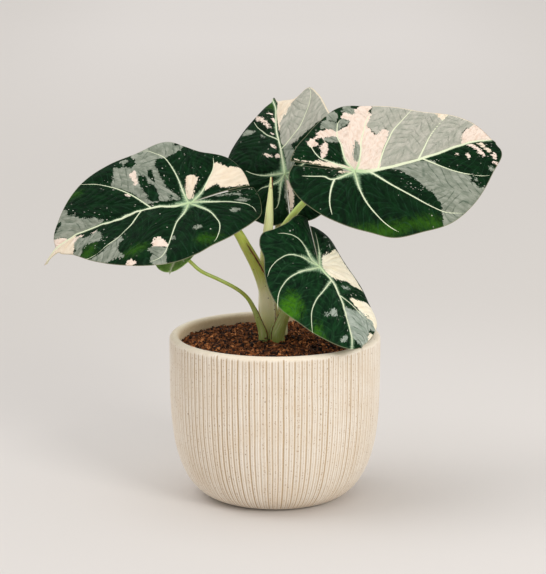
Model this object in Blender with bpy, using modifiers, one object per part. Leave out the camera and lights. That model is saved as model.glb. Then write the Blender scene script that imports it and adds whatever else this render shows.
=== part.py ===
"""Potted alocasia: a ribbed stoneware pot, soil, a corm, six petioles and five blades.

Metres, +Z up. The origin is the centre of the pot's flat base, and the plant's front is -Y.
"""

import math

import bpy
from mathutils import Euler, Vector

MM = 0.001
GAP = 0.3 * MM
NAME = "potted_alocasia"

# Pot: outer size, foot, and the curve between them.
POT_HEIGHT = 109 * MM
POT_RADIUS = 69.5 * MM
FOOT_RADIUS = 36 * MM
SHOULDER_HEIGHT = 105 * MM
BELLY_POWER = 3.9
FOOT_POWER = 2.0
WALL = 6.8 * MM
FLOOR = 9 * MM
POT_STEPS = 48

# Soil: the height where the petioles leave it, and its surface at the wall and at the middle.
SOIL_LINE = 104 * MM
SOIL_EDGE = SOIL_LINE - 2.5 * MM
SOIL_CROWN = SOIL_LINE + 0.5 * MM

# Corm: a flat crown that carries the petioles.
CORM_CENTRE = Vector((-2.0, 6.0, 0.0)) * MM
CORM_TOP = SOIL_LINE - 6 * MM
CORM_DEPTH = 34 * MM
CORM_RADIUS = 17 * MM

# Blades.
BLADE_THICKNESS = 0.8 * MM
MIDRIB_ROUND = 4 * MM
SEAT_DEPTH = 6 * MM
SEAT_GAP = 0.5 * MM
RING_FRACTIONS = (0.05, 0.2, 0.45, 0.75, 1.0)
BLADE_STEP = 11
TIP_WIDTH = 3.0

# Petioles.
TUBE_SAMPLES = 3
TUBE_ROUNDNESS = 2

# Each blade: hub in mm from the pot's axis and the soil line, heading, rise and roll in degrees, bend of the midrib per mm, fold and curl of the left
# and right halves, length of the drip tip in mm, and the outline from one edge of the sinus round the tip to
# the other, as angle from the midrib in degrees and distance from the hub in mm.
BLADES = {
    "left": {
        "hub": (-55, -8, 93.4),
        "turn": (187, -3, -29.5),
        "droop": 0.0074,
        "fold": (10, 16.5),
        "curl": (0.0031, 0.0015),
        "tip": 13,
        "outline": (
            (-157, 44), (-140, 47), (-125, 48), (-105, 45), (-92, 49), (-80, 56), (-60, 57), (-45, 66), (-30, 79),
            (-15, 90), (-6, 96), (3, 93), (12, 83), (25, 76), (42, 69), (60, 63), (75, 58), (90, 51), (105, 45),
            (130, 42), (150, 43), (170, 47), (188, 48), (201, 46),
        ),
    },
    "right": {
        "hub": (52.3, 0, 112.8),
        "turn": (20, 8.7, 42),
        "droop": 0.0004,
        "fold": (5, 1),
        "curl": (0.0022, 0.0034),
        "tip": 1,
        "outline": (
            (-202, 41), (-188, 45), (-170, 45), (-150, 43), (-125, 42), (-100, 45), (-82, 52), (-62, 59), (-45, 71),
            (-30, 81), (-15, 92), (-6, 102), (0, 100), (10, 95), (18, 87), (30, 72), (45, 64), (62, 58), (78, 56),
            (98, 47), (118, 42), (136, 42), (154, 43),
        ),
    },
    "back": {
        "hub": (6.7, 45, 103.5),
        "turn": (100, 51, -9.6),
        "droop": 0.0086,
        "fold": (-25, 26),
        "curl": (0.0024, -0.002),
        "tip": 8,
        "outline": (
            (-177, 33), (-160, 38), (-140, 41), (-110, 43), (-80, 44), (-60, 47), (-45, 53), (-30, 65), (-20, 70),
            (-12, 68), (0, 75), (14, 67), (28, 61), (43, 56), (60, 50), (80, 44), (110, 39), (140, 38), (160, 37),
            (176, 33),
        ),
    },
    "front": {
        "hub": (28.3, -28, 55.6),
        "turn": (-52.4, -45.2, -5.2),
        "droop": 0.0007,
        "fold": (-1.7, -11.5),
        "curl": (0.0055, 0.0065),
        "tip": 1,
        "outline": (
            (-200, 42), (-189, 42), (-172, 37), (-156, 38), (-145, 42), (-134, 40), (-120, 35), (-100, 35), (-80, 37),
            (-60, 41), (-42, 45), (-25, 53), (-7, 63), (4, 61), (16, 57), (35, 52), (48, 43), (65, 37), (88, 30),
            (110, 30), (132, 36), (152, 36),
        ),
    },
    "small": {
        "hub": (-58.5, -18, 64),
        "turn": (246, -32, 14),
        "droop": 0.008,
        "fold": (12, 12),
        "curl": (0.004, 0.004),
        "tip": 2,
        "outline": (
            (-174, 9), (-150, 13), (-110, 15), (-75, 17), (-45, 19), (-18, 20), (0, 20), (18, 20), (45, 19), (75, 17),
            (110, 15), (150, 13), (174, 9),
        ),
    },
}

# Each petiole: centre line from its foot on the corm to just under its blade, as x, y, height over the soil line
# and radius in mm.
PETIOLES = {
    "left": (
        (-4.0, 6.0, 0, 5.2), (-4.9, 5.4, 21, 5.3), (-6.2, 4.6, 34, 5.0), (-11.3, 1.5, 48, 4.1),
        (-18.6, -1.5, 62.5, 3.5), (-26, -3, 75, 3.0), (-38, -2, 84, 2.4),
    ),
    "right": (
        (5.0, 12.0, 0, 3.4), (3.6, 12.4, 24, 3.1), (2.0, 12.0, 49, 2.7), (2.6, 9.8, 66, 2.4),
        (6.7, 7.2, 76, 2.25), (19.4, 5.0, 91.7, 2.1), (34, 6.0, 101.5, 2.0),
    ),
    "back": (
        (-1.5, 18.0, 0, 3.1), (-1.4, 20.0, 24, 2.9), (0.5, 26.0, 51, 2.5), (3.5, 38.0, 79, 2.2),
        (6.0, 47.0, 92, 2.0),
    ),
    "front": (
        (1.6, -4.2, 0, 5.0), (5.8, -4.6, 17, 3.8), (11, -6, 29, 3.0), (17, -11, 40, 2.5), (22, -19, 47.5, 2.1),
    ),
    "small": (
        (-7.7, -4.3, 0, 3.1), (-9.8, -4.2, 12, 2.4), (-13.4, -5, 21.7, 1.7), (-18, -6, 30, 1.35),
        (-25, -8, 36.5, 1.25), (-36.2, -10, 43, 1.2), (-47.8, -12, 49, 1.2), (-55, -12.5, 55.5, 1.2),
    ),
}

# The rolled new leaf: foot, body and tip.
NEW_LEAF = (
    (-8.6, 15.8, 0, 2.5), (-7.8, 14.0, 31, 2.9), (-7.2, 9.6, 47, 3.1), (-6.3, 5.6, 60, 3.2),
    (-4.5, 4.0, 74.5, 3.1), (-3.3, 4.0, 92, 2.0), (-2.5, 4.0, 108.5, 0.5),
)

STONEWARE = ("stoneware", (0.80, 0.72, 0.58), 0.75)
POTTING_MIX = ("potting_mix", (0.09, 0.04, 0.02), 0.95)
CORM_SKIN = ("corm_skin", (0.20, 0.12, 0.07), 0.9)
VELVET_BLADE = ("velvet_blade", (0.02, 0.06, 0.03), 0.6)
YOUNG_BLADE = ("young_blade", (0.20, 0.36, 0.10), 0.55)
PALE_PETIOLE = ("pale_petiole", (0.55, 0.60, 0.30), 0.45)


def clear_scene():
    """Removes every object of the scene."""
    for item in list(bpy.data.objects):
        bpy.data.objects.remove(item, do_unlink=True)


def collection(name):
    """Makes a collection in the scene."""
    group = bpy.data.collections.new(name)
    bpy.context.scene.collection.children.link(group)
    return group


def material(finish):
    """Makes or finds the Principled material of a finish."""
    name, colour, roughness = finish
    found = bpy.data.materials.get(name)
    if found:
        return found
    made = bpy.data.materials.new(name)
    made.use_nodes = True
    shader = made.node_tree.nodes["Principled BSDF"]
    shader.inputs["Base Color"].default_value = (*colour, 1.0)
    shader.inputs["Roughness"].default_value = roughness
    shader.inputs["Metallic"].default_value = 0.0
    return made


def add_object(name, data, group, finish):
    """Puts data in the scene as a named object with its material."""
    item = bpy.data.objects.new(name, data)
    group.objects.link(item)
    data.materials.append(material(finish))
    return item


def smooth_points(points, samples):
    """Catmull-Rom curve through points, with samples steps per stretch."""
    ends = [2 * points[0] - points[1], *points, 2 * points[-1] - points[-2]]
    curve = []
    for i in range(1, len(ends) - 2):
        a, b, c, d = ends[i - 1 : i + 3]
        for step in range(samples):
            t = step / samples
            bend = (2 * a - 5 * b + 4 * c - d) * t**2 + (3 * b - a - 3 * c + d) * t**3
            curve.append(b + 0.5 * ((c - a) * t + bend))
    curve.append(points[-1])
    return curve


# Turned pieces.


def outer_radius(height):
    """Radius of the pot's outside at a height."""
    reach = max(0.0, 1 - height / SHOULDER_HEIGHT)
    share = (1 - reach**BELLY_POWER) ** (1 / FOOT_POWER)
    return FOOT_RADIUS + (POT_RADIUS - FOOT_RADIUS) * share


def inner_radius(height):
    """Radius of the pot's inside at a height, rounded into its floor."""
    rise = min(1.0, (height - FLOOR) / (2 * FLOOR))
    return (outer_radius(height) - WALL) * (0.8 + 0.2 * math.sqrt(1 - (1 - rise) ** 2))


def turned(name, profile, group, finish, steps):
    """Turns an (radius, height) profile around Z with a Screw modifier."""
    mesh = bpy.data.meshes.new(name)
    vertices = [(radius, 0.0, height) for radius, height in profile]
    mesh.from_pydata(vertices, [(i, i + 1) for i in range(len(vertices) - 1)], [])
    item = add_object(name, mesh, group, finish)
    screw = item.modifiers.new("turn", "SCREW")
    screw.steps = steps
    screw.render_steps = steps
    screw.use_merge_vertices = True
    screw.merge_threshold = 0.00005
    screw.use_smooth_shade = True
    return item


def wall_heights():
    """Heights of the inside wall's section, from the floor to the soil's edge."""
    return [FLOOR + (SOIL_EDGE - FLOOR) * share for share in (0.0, 0.06, 0.15, 0.3, 0.6, 1.0)]


def pot_profile():
    """The pot's section, from the inside of its floor over the rim and down the outside."""
    rim = WALL / 2
    rim_centre = POT_HEIGHT - rim
    profile = [(0.0, FLOOR), (0.5 * inner_radius(FLOOR), FLOOR)]
    profile += [(inner_radius(height), height) for height in (*wall_heights(), rim_centre)]
    for step in range(1, 6):
        turn = math.pi * (1 - step / 6)
        profile.append((POT_RADIUS - rim + rim * math.cos(turn), rim_centre + rim * math.sin(turn)))
    for share in (1.0, 0.82, 0.65, 0.5, 0.36, 0.25, 0.16, 0.09, 0.04, 0.015, 0.0):
        height = rim_centre * share
        profile.append((outer_radius(height), height))
    profile.append((0.0, 0.0))
    return profile


def soil_profile():
    """The soil's section: a low mound that fills the pot."""
    profile = [(0.0, SOIL_CROWN), (0.3 * POT_RADIUS, SOIL_CROWN - 0.5 * MM)]
    profile.append((inner_radius(SOIL_EDGE) - 8 * MM, SOIL_EDGE + 0.6 * MM))
    profile += [(inner_radius(height) - GAP, height) for height in reversed(wall_heights()[1:])]
    profile += [(inner_radius(FLOOR) - GAP, FLOOR + GAP), (0.0, FLOOR + GAP)]
    return profile


def corm_profile(spare):
    """The corm's section, grown by spare on all sides."""
    bulge = CORM_RADIUS + spare
    top = CORM_TOP + spare
    bottom = CORM_TOP - CORM_DEPTH - spare
    sides = ((0.95, 0.0), (1.0, 0.15), (0.97, 0.4), (0.7, 0.72), (0.3, 0.93))
    return [(0.0, top), *((bulge * wide, top + (bottom - top) * down) for wide, down in sides), (0.0, bottom)]


# Blades.


def hub_place(blade):
    """Where a blade's hub stands."""
    return Vector(blade["hub"]) * MM + Vector((0, 0, SOIL_LINE))


def outline_radius(angle, blade):
    """Distance from the hub to the margin at an angle, drip tip included."""
    points = [Vector(point) for point in blade["outline"]]
    curve = smooth_points(points, 8)
    after = next((i for i, point in enumerate(curve) if point.x >= angle), len(curve) - 1)
    after = max(1, after)
    low, high = curve[after - 1], curve[after]
    share = (angle - low.x) / (high.x - low.x)
    drip = blade["tip"] * math.exp(-((angle / TIP_WIDTH) ** 2))
    return low.y + (high.y - low.y) * share + drip


def blade_point(along, across, blade):
    """Bends a flat point of a blade, in mm, into its folded, curled and drooping shape."""
    side = 0 if across >= 0 else 1
    fold = math.radians(blade["fold"][side])
    round_off = MIDRIB_ROUND / MM
    lift = math.sin(fold) * (math.hypot(across, round_off) - round_off) - blade["curl"][side] * across**2
    bend = blade["droop"]
    turn = bend * along
    forward = math.sin(turn) / bend + lift * math.sin(turn)
    upward = (math.cos(turn) - 1) / bend + lift * math.cos(turn)
    return Vector((forward, across * math.cos(fold), upward)) * MM


def blade_angles(blade):
    """Angles of the blade's rays, from one edge of the sinus to the other, closer at the drip tip."""
    first = blade["outline"][0][0]
    last = blade["outline"][-1][0]
    rays = [first + 0.0, last + 0.0, 0.0, -4.0, 4.0]
    rays += [side * ray for side in (-1, 1) for ray in range(BLADE_STEP, 220, BLADE_STEP)]
    return sorted(ray for ray in rays if first <= ray <= last)


def make_blade(name, blade, group, finish):
    """A blade: rays and rings round its hub, thickened to both sides."""
    angles = blade_angles(blade)
    vertices = [blade_point(0.0, 0.0, blade)]
    for angle in angles:
        turn = math.radians(angle)
        reach = outline_radius(angle, blade)
        for share in RING_FRACTIONS:
            vertices.append(blade_point(reach * share * math.cos(turn), reach * share * math.sin(turn), blade))
    rings = len(RING_FRACTIONS)
    faces = []
    for ray in range(len(angles) - 1):
        here = 1 + ray * rings
        beyond = here + rings
        faces.append((0, here, beyond))
        faces += [(here + k, here + k + 1, beyond + k + 1, beyond + k) for k in range(rings - 1)]
    mesh = bpy.data.meshes.new(name)
    mesh.from_pydata(vertices, [], faces)
    mesh.shade_smooth()
    item = add_object(name, mesh, group, finish)
    heading, rise, roll = (math.radians(angle) for angle in blade["turn"])
    item.location = hub_place(blade)
    item.rotation_euler = Euler((roll, -rise, heading))
    solid = item.modifiers.new("thickness", "SOLIDIFY")
    solid.thickness = BLADE_THICKNESS
    solid.offset = 0.0
    return item


# Petioles.


def seat(blade):
    """Where a petiole ends under a blade: the approach and the end, square to the blade."""
    heading, rise, roll = (math.radians(angle) for angle in blade["turn"])
    normal = Euler((roll, -rise, heading)).to_matrix() @ Vector((0, 0, 1))
    hub = hub_place(blade)
    return hub - normal * SEAT_DEPTH, hub - normal * (BLADE_THICKNESS / 2 + SEAT_GAP)


def petiole_line(points, blade):
    """Centre line and radii: straight up through the soil, then a smooth curve to the blade."""
    foot_x, foot_y, _, foot_radius = points[0]
    levels = (CORM_TOP + GAP, SOIL_LINE, SOIL_LINE + 6 * MM)
    stations = [Vector((foot_x * MM, foot_y * MM, level, foot_radius * MM)) for level in levels]
    stations += [Vector(point) * MM + Vector((0, 0, SOIL_LINE, 0)) for point in points[1:]]
    end_radius = 0.9 * points[-1][3] * MM
    ends = [Vector((*place, end_radius)) for place in seat(blade)] if blade else []
    curve = smooth_points(stations + ends[:1], TUBE_SAMPLES) + ends[1:]
    return [point.xyz for point in curve], [point.w for point in curve]


def make_tube(name, line, radii, group, finish):
    """A round stalk with closed ends along a line."""
    data = bpy.data.curves.new(name, "CURVE")
    data.dimensions = "3D"
    data.bevel_depth = 1.0
    data.bevel_resolution = TUBE_ROUNDNESS
    data.use_fill_caps = True
    foot = line[0]
    spline = data.splines.new("POLY")
    spline.points.add(len(line) - 1)
    for point, place, radius in zip(spline.points, line, radii):
        point.co = (*(place - foot), 1.0)
        point.radius = radius
    item = add_object(name, data, group, finish)
    item.location = foot
    return item


# Hollows in the soil.


def hide_cutter(item):
    """Marks an object as a cutter."""
    item.display_type = "WIRE"
    item.hide_render = True


def stalk_cutter(name, foot, group):
    """A round hole through the soil for the foot of a stalk."""
    x, y, _, radius = foot
    sides = 20
    low = CORM_TOP - 1 * MM
    high = SOIL_CROWN + 4 * MM
    bpy.ops.mesh.primitive_cylinder_add(
        vertices=sides,
        radius=(radius * MM + GAP) / math.cos(math.pi / sides),
        depth=high - low,
        location=(x * MM, y * MM, (low + high) / 2),
    )
    item = bpy.context.object
    item.name = name
    bpy.context.collection.objects.unlink(item)
    group.objects.link(item)
    hide_cutter(item)
    return item


def cut(item, cutter):
    """Takes a cutter's shape out of an object."""
    change = item.modifiers.new(cutter.name, "BOOLEAN")
    change.operation = "DIFFERENCE"
    change.solver = "EXACT"
    change.object = cutter


def build():
    """Makes the whole plant in its pot."""
    clear_scene()
    parts = collection(NAME)
    cutters = collection("cutters")
    turned("pot", pot_profile(), parts, STONEWARE, POT_STEPS)
    soil = turned("soil", soil_profile(), parts, POTTING_MIX, POT_STEPS)
    corm = turned("corm", corm_profile(0.0), parts, CORM_SKIN, 24)
    corm.location = CORM_CENTRE
    hollow = turned("corm_hollow", corm_profile(2 * GAP), cutters, CORM_SKIN, 24)
    hollow.location = CORM_CENTRE
    hide_cutter(hollow)
    cut(soil, hollow)

    for name, blade in BLADES.items():
        finish = YOUNG_BLADE if name == "small" else VELVET_BLADE
        make_blade(f"blade_{name}", blade, parts, finish)

    stalks = {f"petiole_{name}": (points, BLADES[name]) for name, points in PETIOLES.items()}
    stalks["new_leaf"] = (NEW_LEAF, None)
    for name, (points, blade) in stalks.items():
        line, radii = petiole_line(points, blade)
        make_tube(name, line, radii, parts, PALE_PETIOLE)
        cut(soil, stalk_cutter(f"{name}_hole", points[0], cutters))


build()
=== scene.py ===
"""Potted alocasia: the shown model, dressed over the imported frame. Shape sizes are in millimetres."""

import logging
import math
from dataclasses import dataclass, field
from enum import Enum

import bpy
import numpy as np
from mathutils import Euler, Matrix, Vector, noise


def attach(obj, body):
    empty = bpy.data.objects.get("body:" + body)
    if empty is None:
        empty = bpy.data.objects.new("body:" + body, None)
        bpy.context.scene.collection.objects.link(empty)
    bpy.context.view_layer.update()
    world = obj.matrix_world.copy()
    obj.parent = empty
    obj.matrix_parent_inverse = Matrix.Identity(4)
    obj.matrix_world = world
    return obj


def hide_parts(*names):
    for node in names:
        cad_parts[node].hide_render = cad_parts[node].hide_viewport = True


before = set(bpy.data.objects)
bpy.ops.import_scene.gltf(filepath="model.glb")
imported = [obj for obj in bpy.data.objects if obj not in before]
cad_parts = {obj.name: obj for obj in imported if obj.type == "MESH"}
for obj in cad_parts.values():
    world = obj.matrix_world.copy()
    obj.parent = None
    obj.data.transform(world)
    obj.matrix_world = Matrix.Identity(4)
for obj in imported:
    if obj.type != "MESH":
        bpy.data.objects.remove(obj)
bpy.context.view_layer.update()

MM = 0.001
SOIL_LINE = 104.0
FAR = 25.0
Pair = tuple[float, float]
Triple = tuple[float, float, float]
Outline = tuple[Pair, ...]

log = logging.getLogger("potted_alocasia")


# Small tools for curves, noise and meshes.


def linear(red: float, green: float, blue: float) -> tuple[float, float, float, float]:
    """Turn a colour of 0 to 255 levels into the linear colour a shader takes.

    Args:
        red: Red level.
        green: Green level.
        blue: Blue level.

    Returns:
        Linear red, green, blue and an alpha of one.
    """
    levels = [level / 255 for level in (red, green, blue)]
    return (*(c / 12.92 if c <= 0.04045 else ((c + 0.055) / 1.055) ** 2.4 for c in levels), 1.0)


def smooth_line(points: np.ndarray, samples: int, closed: bool = False) -> np.ndarray:
    """Run a Catmull-Rom curve through points.

    Args:
        points: Rows of coordinates.
        samples: Steps on each stretch.
        closed: Whether the last point joins the first.

    Returns:
        Rows of coordinates along the curve.
    """
    points = np.asarray(points, float)
    if closed:
        ends = np.vstack((points[-1], points, points[:2]))
    else:
        ends = np.vstack((2 * points[0] - points[1], points, 2 * points[-1] - points[-2]))
    step = (np.arange(samples) / samples)[None, :, None]
    a, b, c, d = (ends[i : len(ends) - 3 + i][:, None, :] for i in range(4))
    bend = (2 * a - 5 * b + 4 * c - d) * step**2 + (3 * b - a - 3 * c + d) * step**3
    curve = (b + 0.5 * ((c - a) * step + bend)).reshape(-1, points.shape[1])
    return curve if closed else np.vstack((curve, points[-1]))


def smooth_step(low: float, high: float, value: np.ndarray) -> np.ndarray:
    """Ease from 0 at low to 1 at high."""
    share = np.clip((value - low) / (high - low), 0.0, 1.0)
    return share * share * (3 - 2 * share)


def noise_at(points: np.ndarray) -> np.ndarray:
    """Smooth noise between about -1 and 1 at rows of three coordinates."""
    return np.array([noise.noise(point) for point in points.tolist()])


def distance_to_line(places: np.ndarray, line: np.ndarray) -> tuple[np.ndarray, np.ndarray]:
    """Measure how far places lie from a flat line.

    Args:
        places: Rows of flat places.
        line: Rows of the line's points.

    Returns:
        Distance of each place, and the share of the line's steps at its nearest point.
    """
    best = np.full(len(places), 1e9)
    share = np.zeros(len(places))
    for index in range(len(line) - 1):
        start, run = line[index], line[index + 1] - line[index]
        along = np.clip(((places - start) @ run) / max(run @ run, 1e-9), 0.0, 1.0)
        away = np.hypot(*(places - start - along[:, None] * run).T)
        nearer = away < best
        best = np.where(nearer, away, best)
        share = np.where(nearer, (index + along) / (len(line) - 1), share)
    return best, share


def distance_to_patch(places: np.ndarray, outline: np.ndarray) -> np.ndarray:
    """Signed distance of flat places to a closed outline, negative inside.

    Args:
        places: Rows of flat places.
        outline: Rows of the outline's points.

    Returns:
        Distance of each place.
    """
    ring = np.vstack((outline, outline[:1]))
    away, _ = distance_to_line(places, ring)
    inside = np.zeros(len(places), bool)
    x, y = places.T
    for (x0, y0), (x1, y1) in zip(ring[:-1], ring[1:]):
        if y0 == y1:
            continue
        crosses = (y0 > y) != (y1 > y)
        inside ^= crosses & (x < (x1 - x0) * (y - y0) / (y1 - y0) + x0)
    return np.where(inside, -away, away)


def grid_faces(rows: int, columns: int, closed: bool = False) -> np.ndarray:
    """Quads between rows of points, each row holding the given columns.

    Args:
        rows: How many rows.
        columns: Points in a row.
        closed: Whether the last column joins the first.

    Returns:
        Corner numbers of each quad.
    """
    row = np.arange(rows - 1)[:, None] * columns
    last = columns if closed else columns - 1
    here = np.arange(last)[None, :]
    there = (here + 1) % columns
    return np.stack((row + here, row + there, row + columns + there, row + columns + here), -1).reshape(-1, 4)


@dataclass
class Draft:
    """A mesh being put together from arrays of points, in millimetres."""

    name: str
    points: list[np.ndarray] = field(default_factory=list)
    faces: list[tuple[np.ndarray, int]] = field(default_factory=list)
    marks: dict[str, list[np.ndarray]] = field(default_factory=dict)
    count: int = 0

    def add(self, points: np.ndarray, faces: list[tuple[np.ndarray, int]], **marks: np.ndarray) -> None:
        """Add points with their faces and marks.

        Args:
            points: Rows of three coordinates.
            faces: Arrays of corner numbers, each with its material number.
            marks: One value or one row of three for each point, by name.
        """
        self.faces += [(corners + self.count, slot) for corners, slot in faces]
        self.points.append(points)
        for name, values in marks.items():
            self.marks.setdefault(name, []).append(np.asarray(values, float))
        self.count += len(points)

    def finish(self, materials: list[bpy.types.Material]) -> bpy.types.Object:
        """Turn the draft into an object of the scene, with its materials.

        Args:
            materials: Materials, in the order of their numbers.

        Returns:
            The mesh's object.
        """
        mesh = bpy.data.meshes.new(self.name)
        mesh.vertices.add(self.count)
        mesh.vertices.foreach_set("co", (np.vstack(self.points) * MM).ravel())
        corners = np.concatenate([part.ravel() for part, _ in self.faces])
        sizes = np.concatenate([np.full(len(part), part.shape[1]) for part, _ in self.faces])
        slots = np.concatenate([np.full(len(part), slot) for part, slot in self.faces])
        mesh.loops.add(len(corners))
        mesh.loops.foreach_set("vertex_index", corners)
        mesh.polygons.add(len(sizes))
        mesh.polygons.foreach_set("loop_start", np.concatenate(([0], np.cumsum(sizes)[:-1])))
        mesh.polygons.foreach_set("material_index", slots)
        mesh.update(calc_edges=True)
        for name, values in self.marks.items():
            values = np.concatenate(values)
            kind, key = ("FLOAT_VECTOR", "vector") if values.ndim == 2 else ("FLOAT", "value")
            mesh.attributes.new(name, kind, "POINT").data.foreach_set(key, values.ravel())
        for material in materials:
            mesh.materials.append(material)
        mesh.validate()
        mesh.shade_smooth()
        item = bpy.data.objects.new(self.name, mesh)
        bpy.context.scene.collection.objects.link(item)
        return item


def place_piece(item: bpy.types.Object, slot: str, *nodes: str) -> None:
    """Let a piece ride on the plant, and hide and log the frame nodes it stands for.

    Args:
        item: The piece.
        slot: Its finish slot; not used.
        nodes: Frame nodes it stands for.
    """
    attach(item, "root")
    if nodes:
        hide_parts(*nodes)
    log.info("%s: %d faces, stands for %s", item.name, len(item.data.polygons), ", ".join(nodes) or "itself")


# Finishes.


class Field:
    """A value that runs through a material's nodes: sums of fields read like plain sums."""

    def __init__(self, graph: "Graph", socket: bpy.types.NodeSocket) -> None:
        """Hold an output socket of a graph."""
        self.graph = graph
        self.socket = socket

    def __add__(self, other: "Value") -> "Field":
        """Sum."""
        return self.graph.maths("ADD", self, other)

    def __radd__(self, other: "Value") -> "Field":
        """Sum with a plain number in front."""
        return self.graph.maths("ADD", other, self)

    def __sub__(self, other: "Value") -> "Field":
        """Difference."""
        return self.graph.maths("SUBTRACT", self, other)

    def __mul__(self, other: "Value") -> "Field":
        """Product."""
        return self.graph.maths("MULTIPLY", self, other)

    def __abs__(self) -> "Field":
        """Size without its sign."""
        return self.graph.maths("ABSOLUTE", self)


Value = float | tuple | Field


class Graph:
    """Short calls that lay out the nodes of one material. A colour is a field or levels of 0 to 255."""

    def __init__(self, name: str) -> None:
        """Start an empty material with a principled shader.

        Args:
            name: The material's name.
        """
        self.material = bpy.data.materials.new(name)
        self.material.use_nodes = True
        self.tree = self.material.node_tree
        self.tree.nodes.clear()
        self.shader = self.tree.nodes.new("ShaderNodeBsdfPrincipled")
        output = self.tree.nodes.new("ShaderNodeOutputMaterial")
        self.tree.links.new(self.shader.outputs[0], output.inputs[0])

    def node(self, kind: str, output: int | str = 0, **inputs: Value) -> Field:
        """Add a node.

        Args:
            kind: The node's type, without its "ShaderNode" start.
            output: The output to give back.
            inputs: Values of inputs by name, with underscores for blanks, or by number after an i.

        Returns:
            The output, as a field.
        """
        node = self.tree.nodes.new("ShaderNode" + kind)
        for name, value in inputs.items():
            self.put(node.inputs[int(name[1:]) if name[1:].isdigit() else name.replace("_", " ")], value)
        return Field(self, node.outputs[output])

    def put(self, socket: bpy.types.NodeSocket, value: Value) -> None:
        """Link a socket to a field, or set its value.

        Args:
            socket: The input.
            value: A field or a plain value.
        """
        if isinstance(value, Field):
            self.tree.links.new(value.socket, socket)
        else:
            socket.default_value = value

    def mark(self, name: str, output: str = "Fac") -> Field:
        """The factor of a mesh mark, or its vector.

        Args:
            name: The mark's name.
            output: "Fac" for a number, "Vector" for a vector.

        Returns:
            The mark, as a field.
        """
        field_of_mark = self.node("Attribute", output)
        field_of_mark.socket.node.attribute_name = name
        return field_of_mark

    def place(self) -> Field:
        """Place on the object, in metres."""
        return self.node("TexCoord", "Object")

    def maths(self, operation: str, first: Value, second: Value = 0.0) -> Field:
        """One sum of two values.

        Args:
            operation: The sum's name.
            first: First value.
            second: Second value.

        Returns:
            The result.
        """
        result = self.node("Math", i0=first, i1=second)
        result.socket.node.operation = operation
        return result

    def stretch(self, vector: Value, scale: Triple) -> Field:
        """A vector with each axis scaled.

        Args:
            vector: Coordinates.
            scale: Factor of each axis.

        Returns:
            The scaled coordinates.
        """
        result = self.node("VectorMath", i0=vector, i1=scale)
        result.socket.node.operation = "MULTIPLY"
        return result

    def ease(self, value: Value, low: float, high: float, start: float = 0.0, end: float = 1.0) -> Field:
        """Ease from start at low to end at high.

        Args:
            value: The value to ease by.
            low: Value at the start.
            high: Value at the end.
            start: Result at the start.
            end: Result at the end.

        Returns:
            The eased value.
        """
        result = self.node("MapRange", Value=value, From_Min=low, From_Max=high, To_Min=start, To_Max=end)
        result.socket.node.interpolation_type = "SMOOTHSTEP"
        return result

    def grain(self, vector: Value, scale: float, detail: float = 3.0, rough: float = 0.55) -> Field:
        """Soft noise between 0 and 1."""
        return self.node("TexNoise", Vector=vector, Scale=scale, Detail=detail, Roughness=rough)

    def ball(self, vector: Value) -> Field:
        """One at the origin, falling evenly to zero at a distance of one.

        Args:
            vector: Coordinates.

        Returns:
            The nearness to the origin.
        """
        result = self.node("TexGradient", "Fac", Vector=vector)
        result.socket.node.gradient_type = "SPHERICAL"
        return result

    def dots(self, vector: Value, scale: float, radius: float, share: float) -> Field:
        """Scattered round dots, one in each of the given share of cells.

        Args:
            vector: Coordinates.
            scale: Cells in one unit.
            radius: Radius of a dot, in cells.
            share: Share of cells that hold one.

        Returns:
            One inside a dot and zero outside.
        """
        distance = self.node("TexVoronoi", "Distance", Vector=vector, Scale=scale)
        cell = Field(self, distance.socket.node.outputs["Color"])
        draw = self.node("SeparateColor", i0=cell).socket.node.outputs
        chosen = self.maths("LESS_THAN", Field(self, draw[0]), share)
        size = (Field(self, draw[1]) + 0.45) * radius
        return chosen * self.maths("LESS_THAN", distance, size)

    def blend(self, share: Value, first: Value, second: Value) -> Field:
        """Mix two colours.

        Args:
            share: Share of the second colour.
            first: First colour.
            second: Second colour.

        Returns:
            The mixed colour.
        """
        node = self.tree.nodes.new("ShaderNodeMix")
        node.data_type = "RGBA"
        self.put(node.inputs["Factor"], share)
        self.put(node.inputs[6], first if isinstance(first, Field) else linear(*first))
        self.put(node.inputs[7], second if isinstance(second, Field) else linear(*second))
        return Field(self, node.outputs[2])

    def relief(self, height: Value, depth: float, strength: float = 1.0) -> None:
        """Give the shader a bump of the given depth in millimetres."""
        bump = self.node("Bump", Strength=strength, Distance=depth * MM, Height=height)
        self.put(self.shader.inputs["Normal"], bump)

    def surface(self, colour: Value, roughness: Value, **sockets: Value) -> bpy.types.Material:
        """Set the shader's colour, roughness and other sockets.

        Args:
            colour: Base colour.
            roughness: Roughness.
            sockets: Further sockets, with underscores for blanks.

        Returns:
            The finished material.
        """
        self.put(self.shader.inputs["Base Color"], colour)
        self.put(self.shader.inputs["Roughness"], roughness)
        for name, value in sockets.items():
            self.put(self.shader.inputs[name.replace("_", " ")], value)
        return self.material


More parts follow.
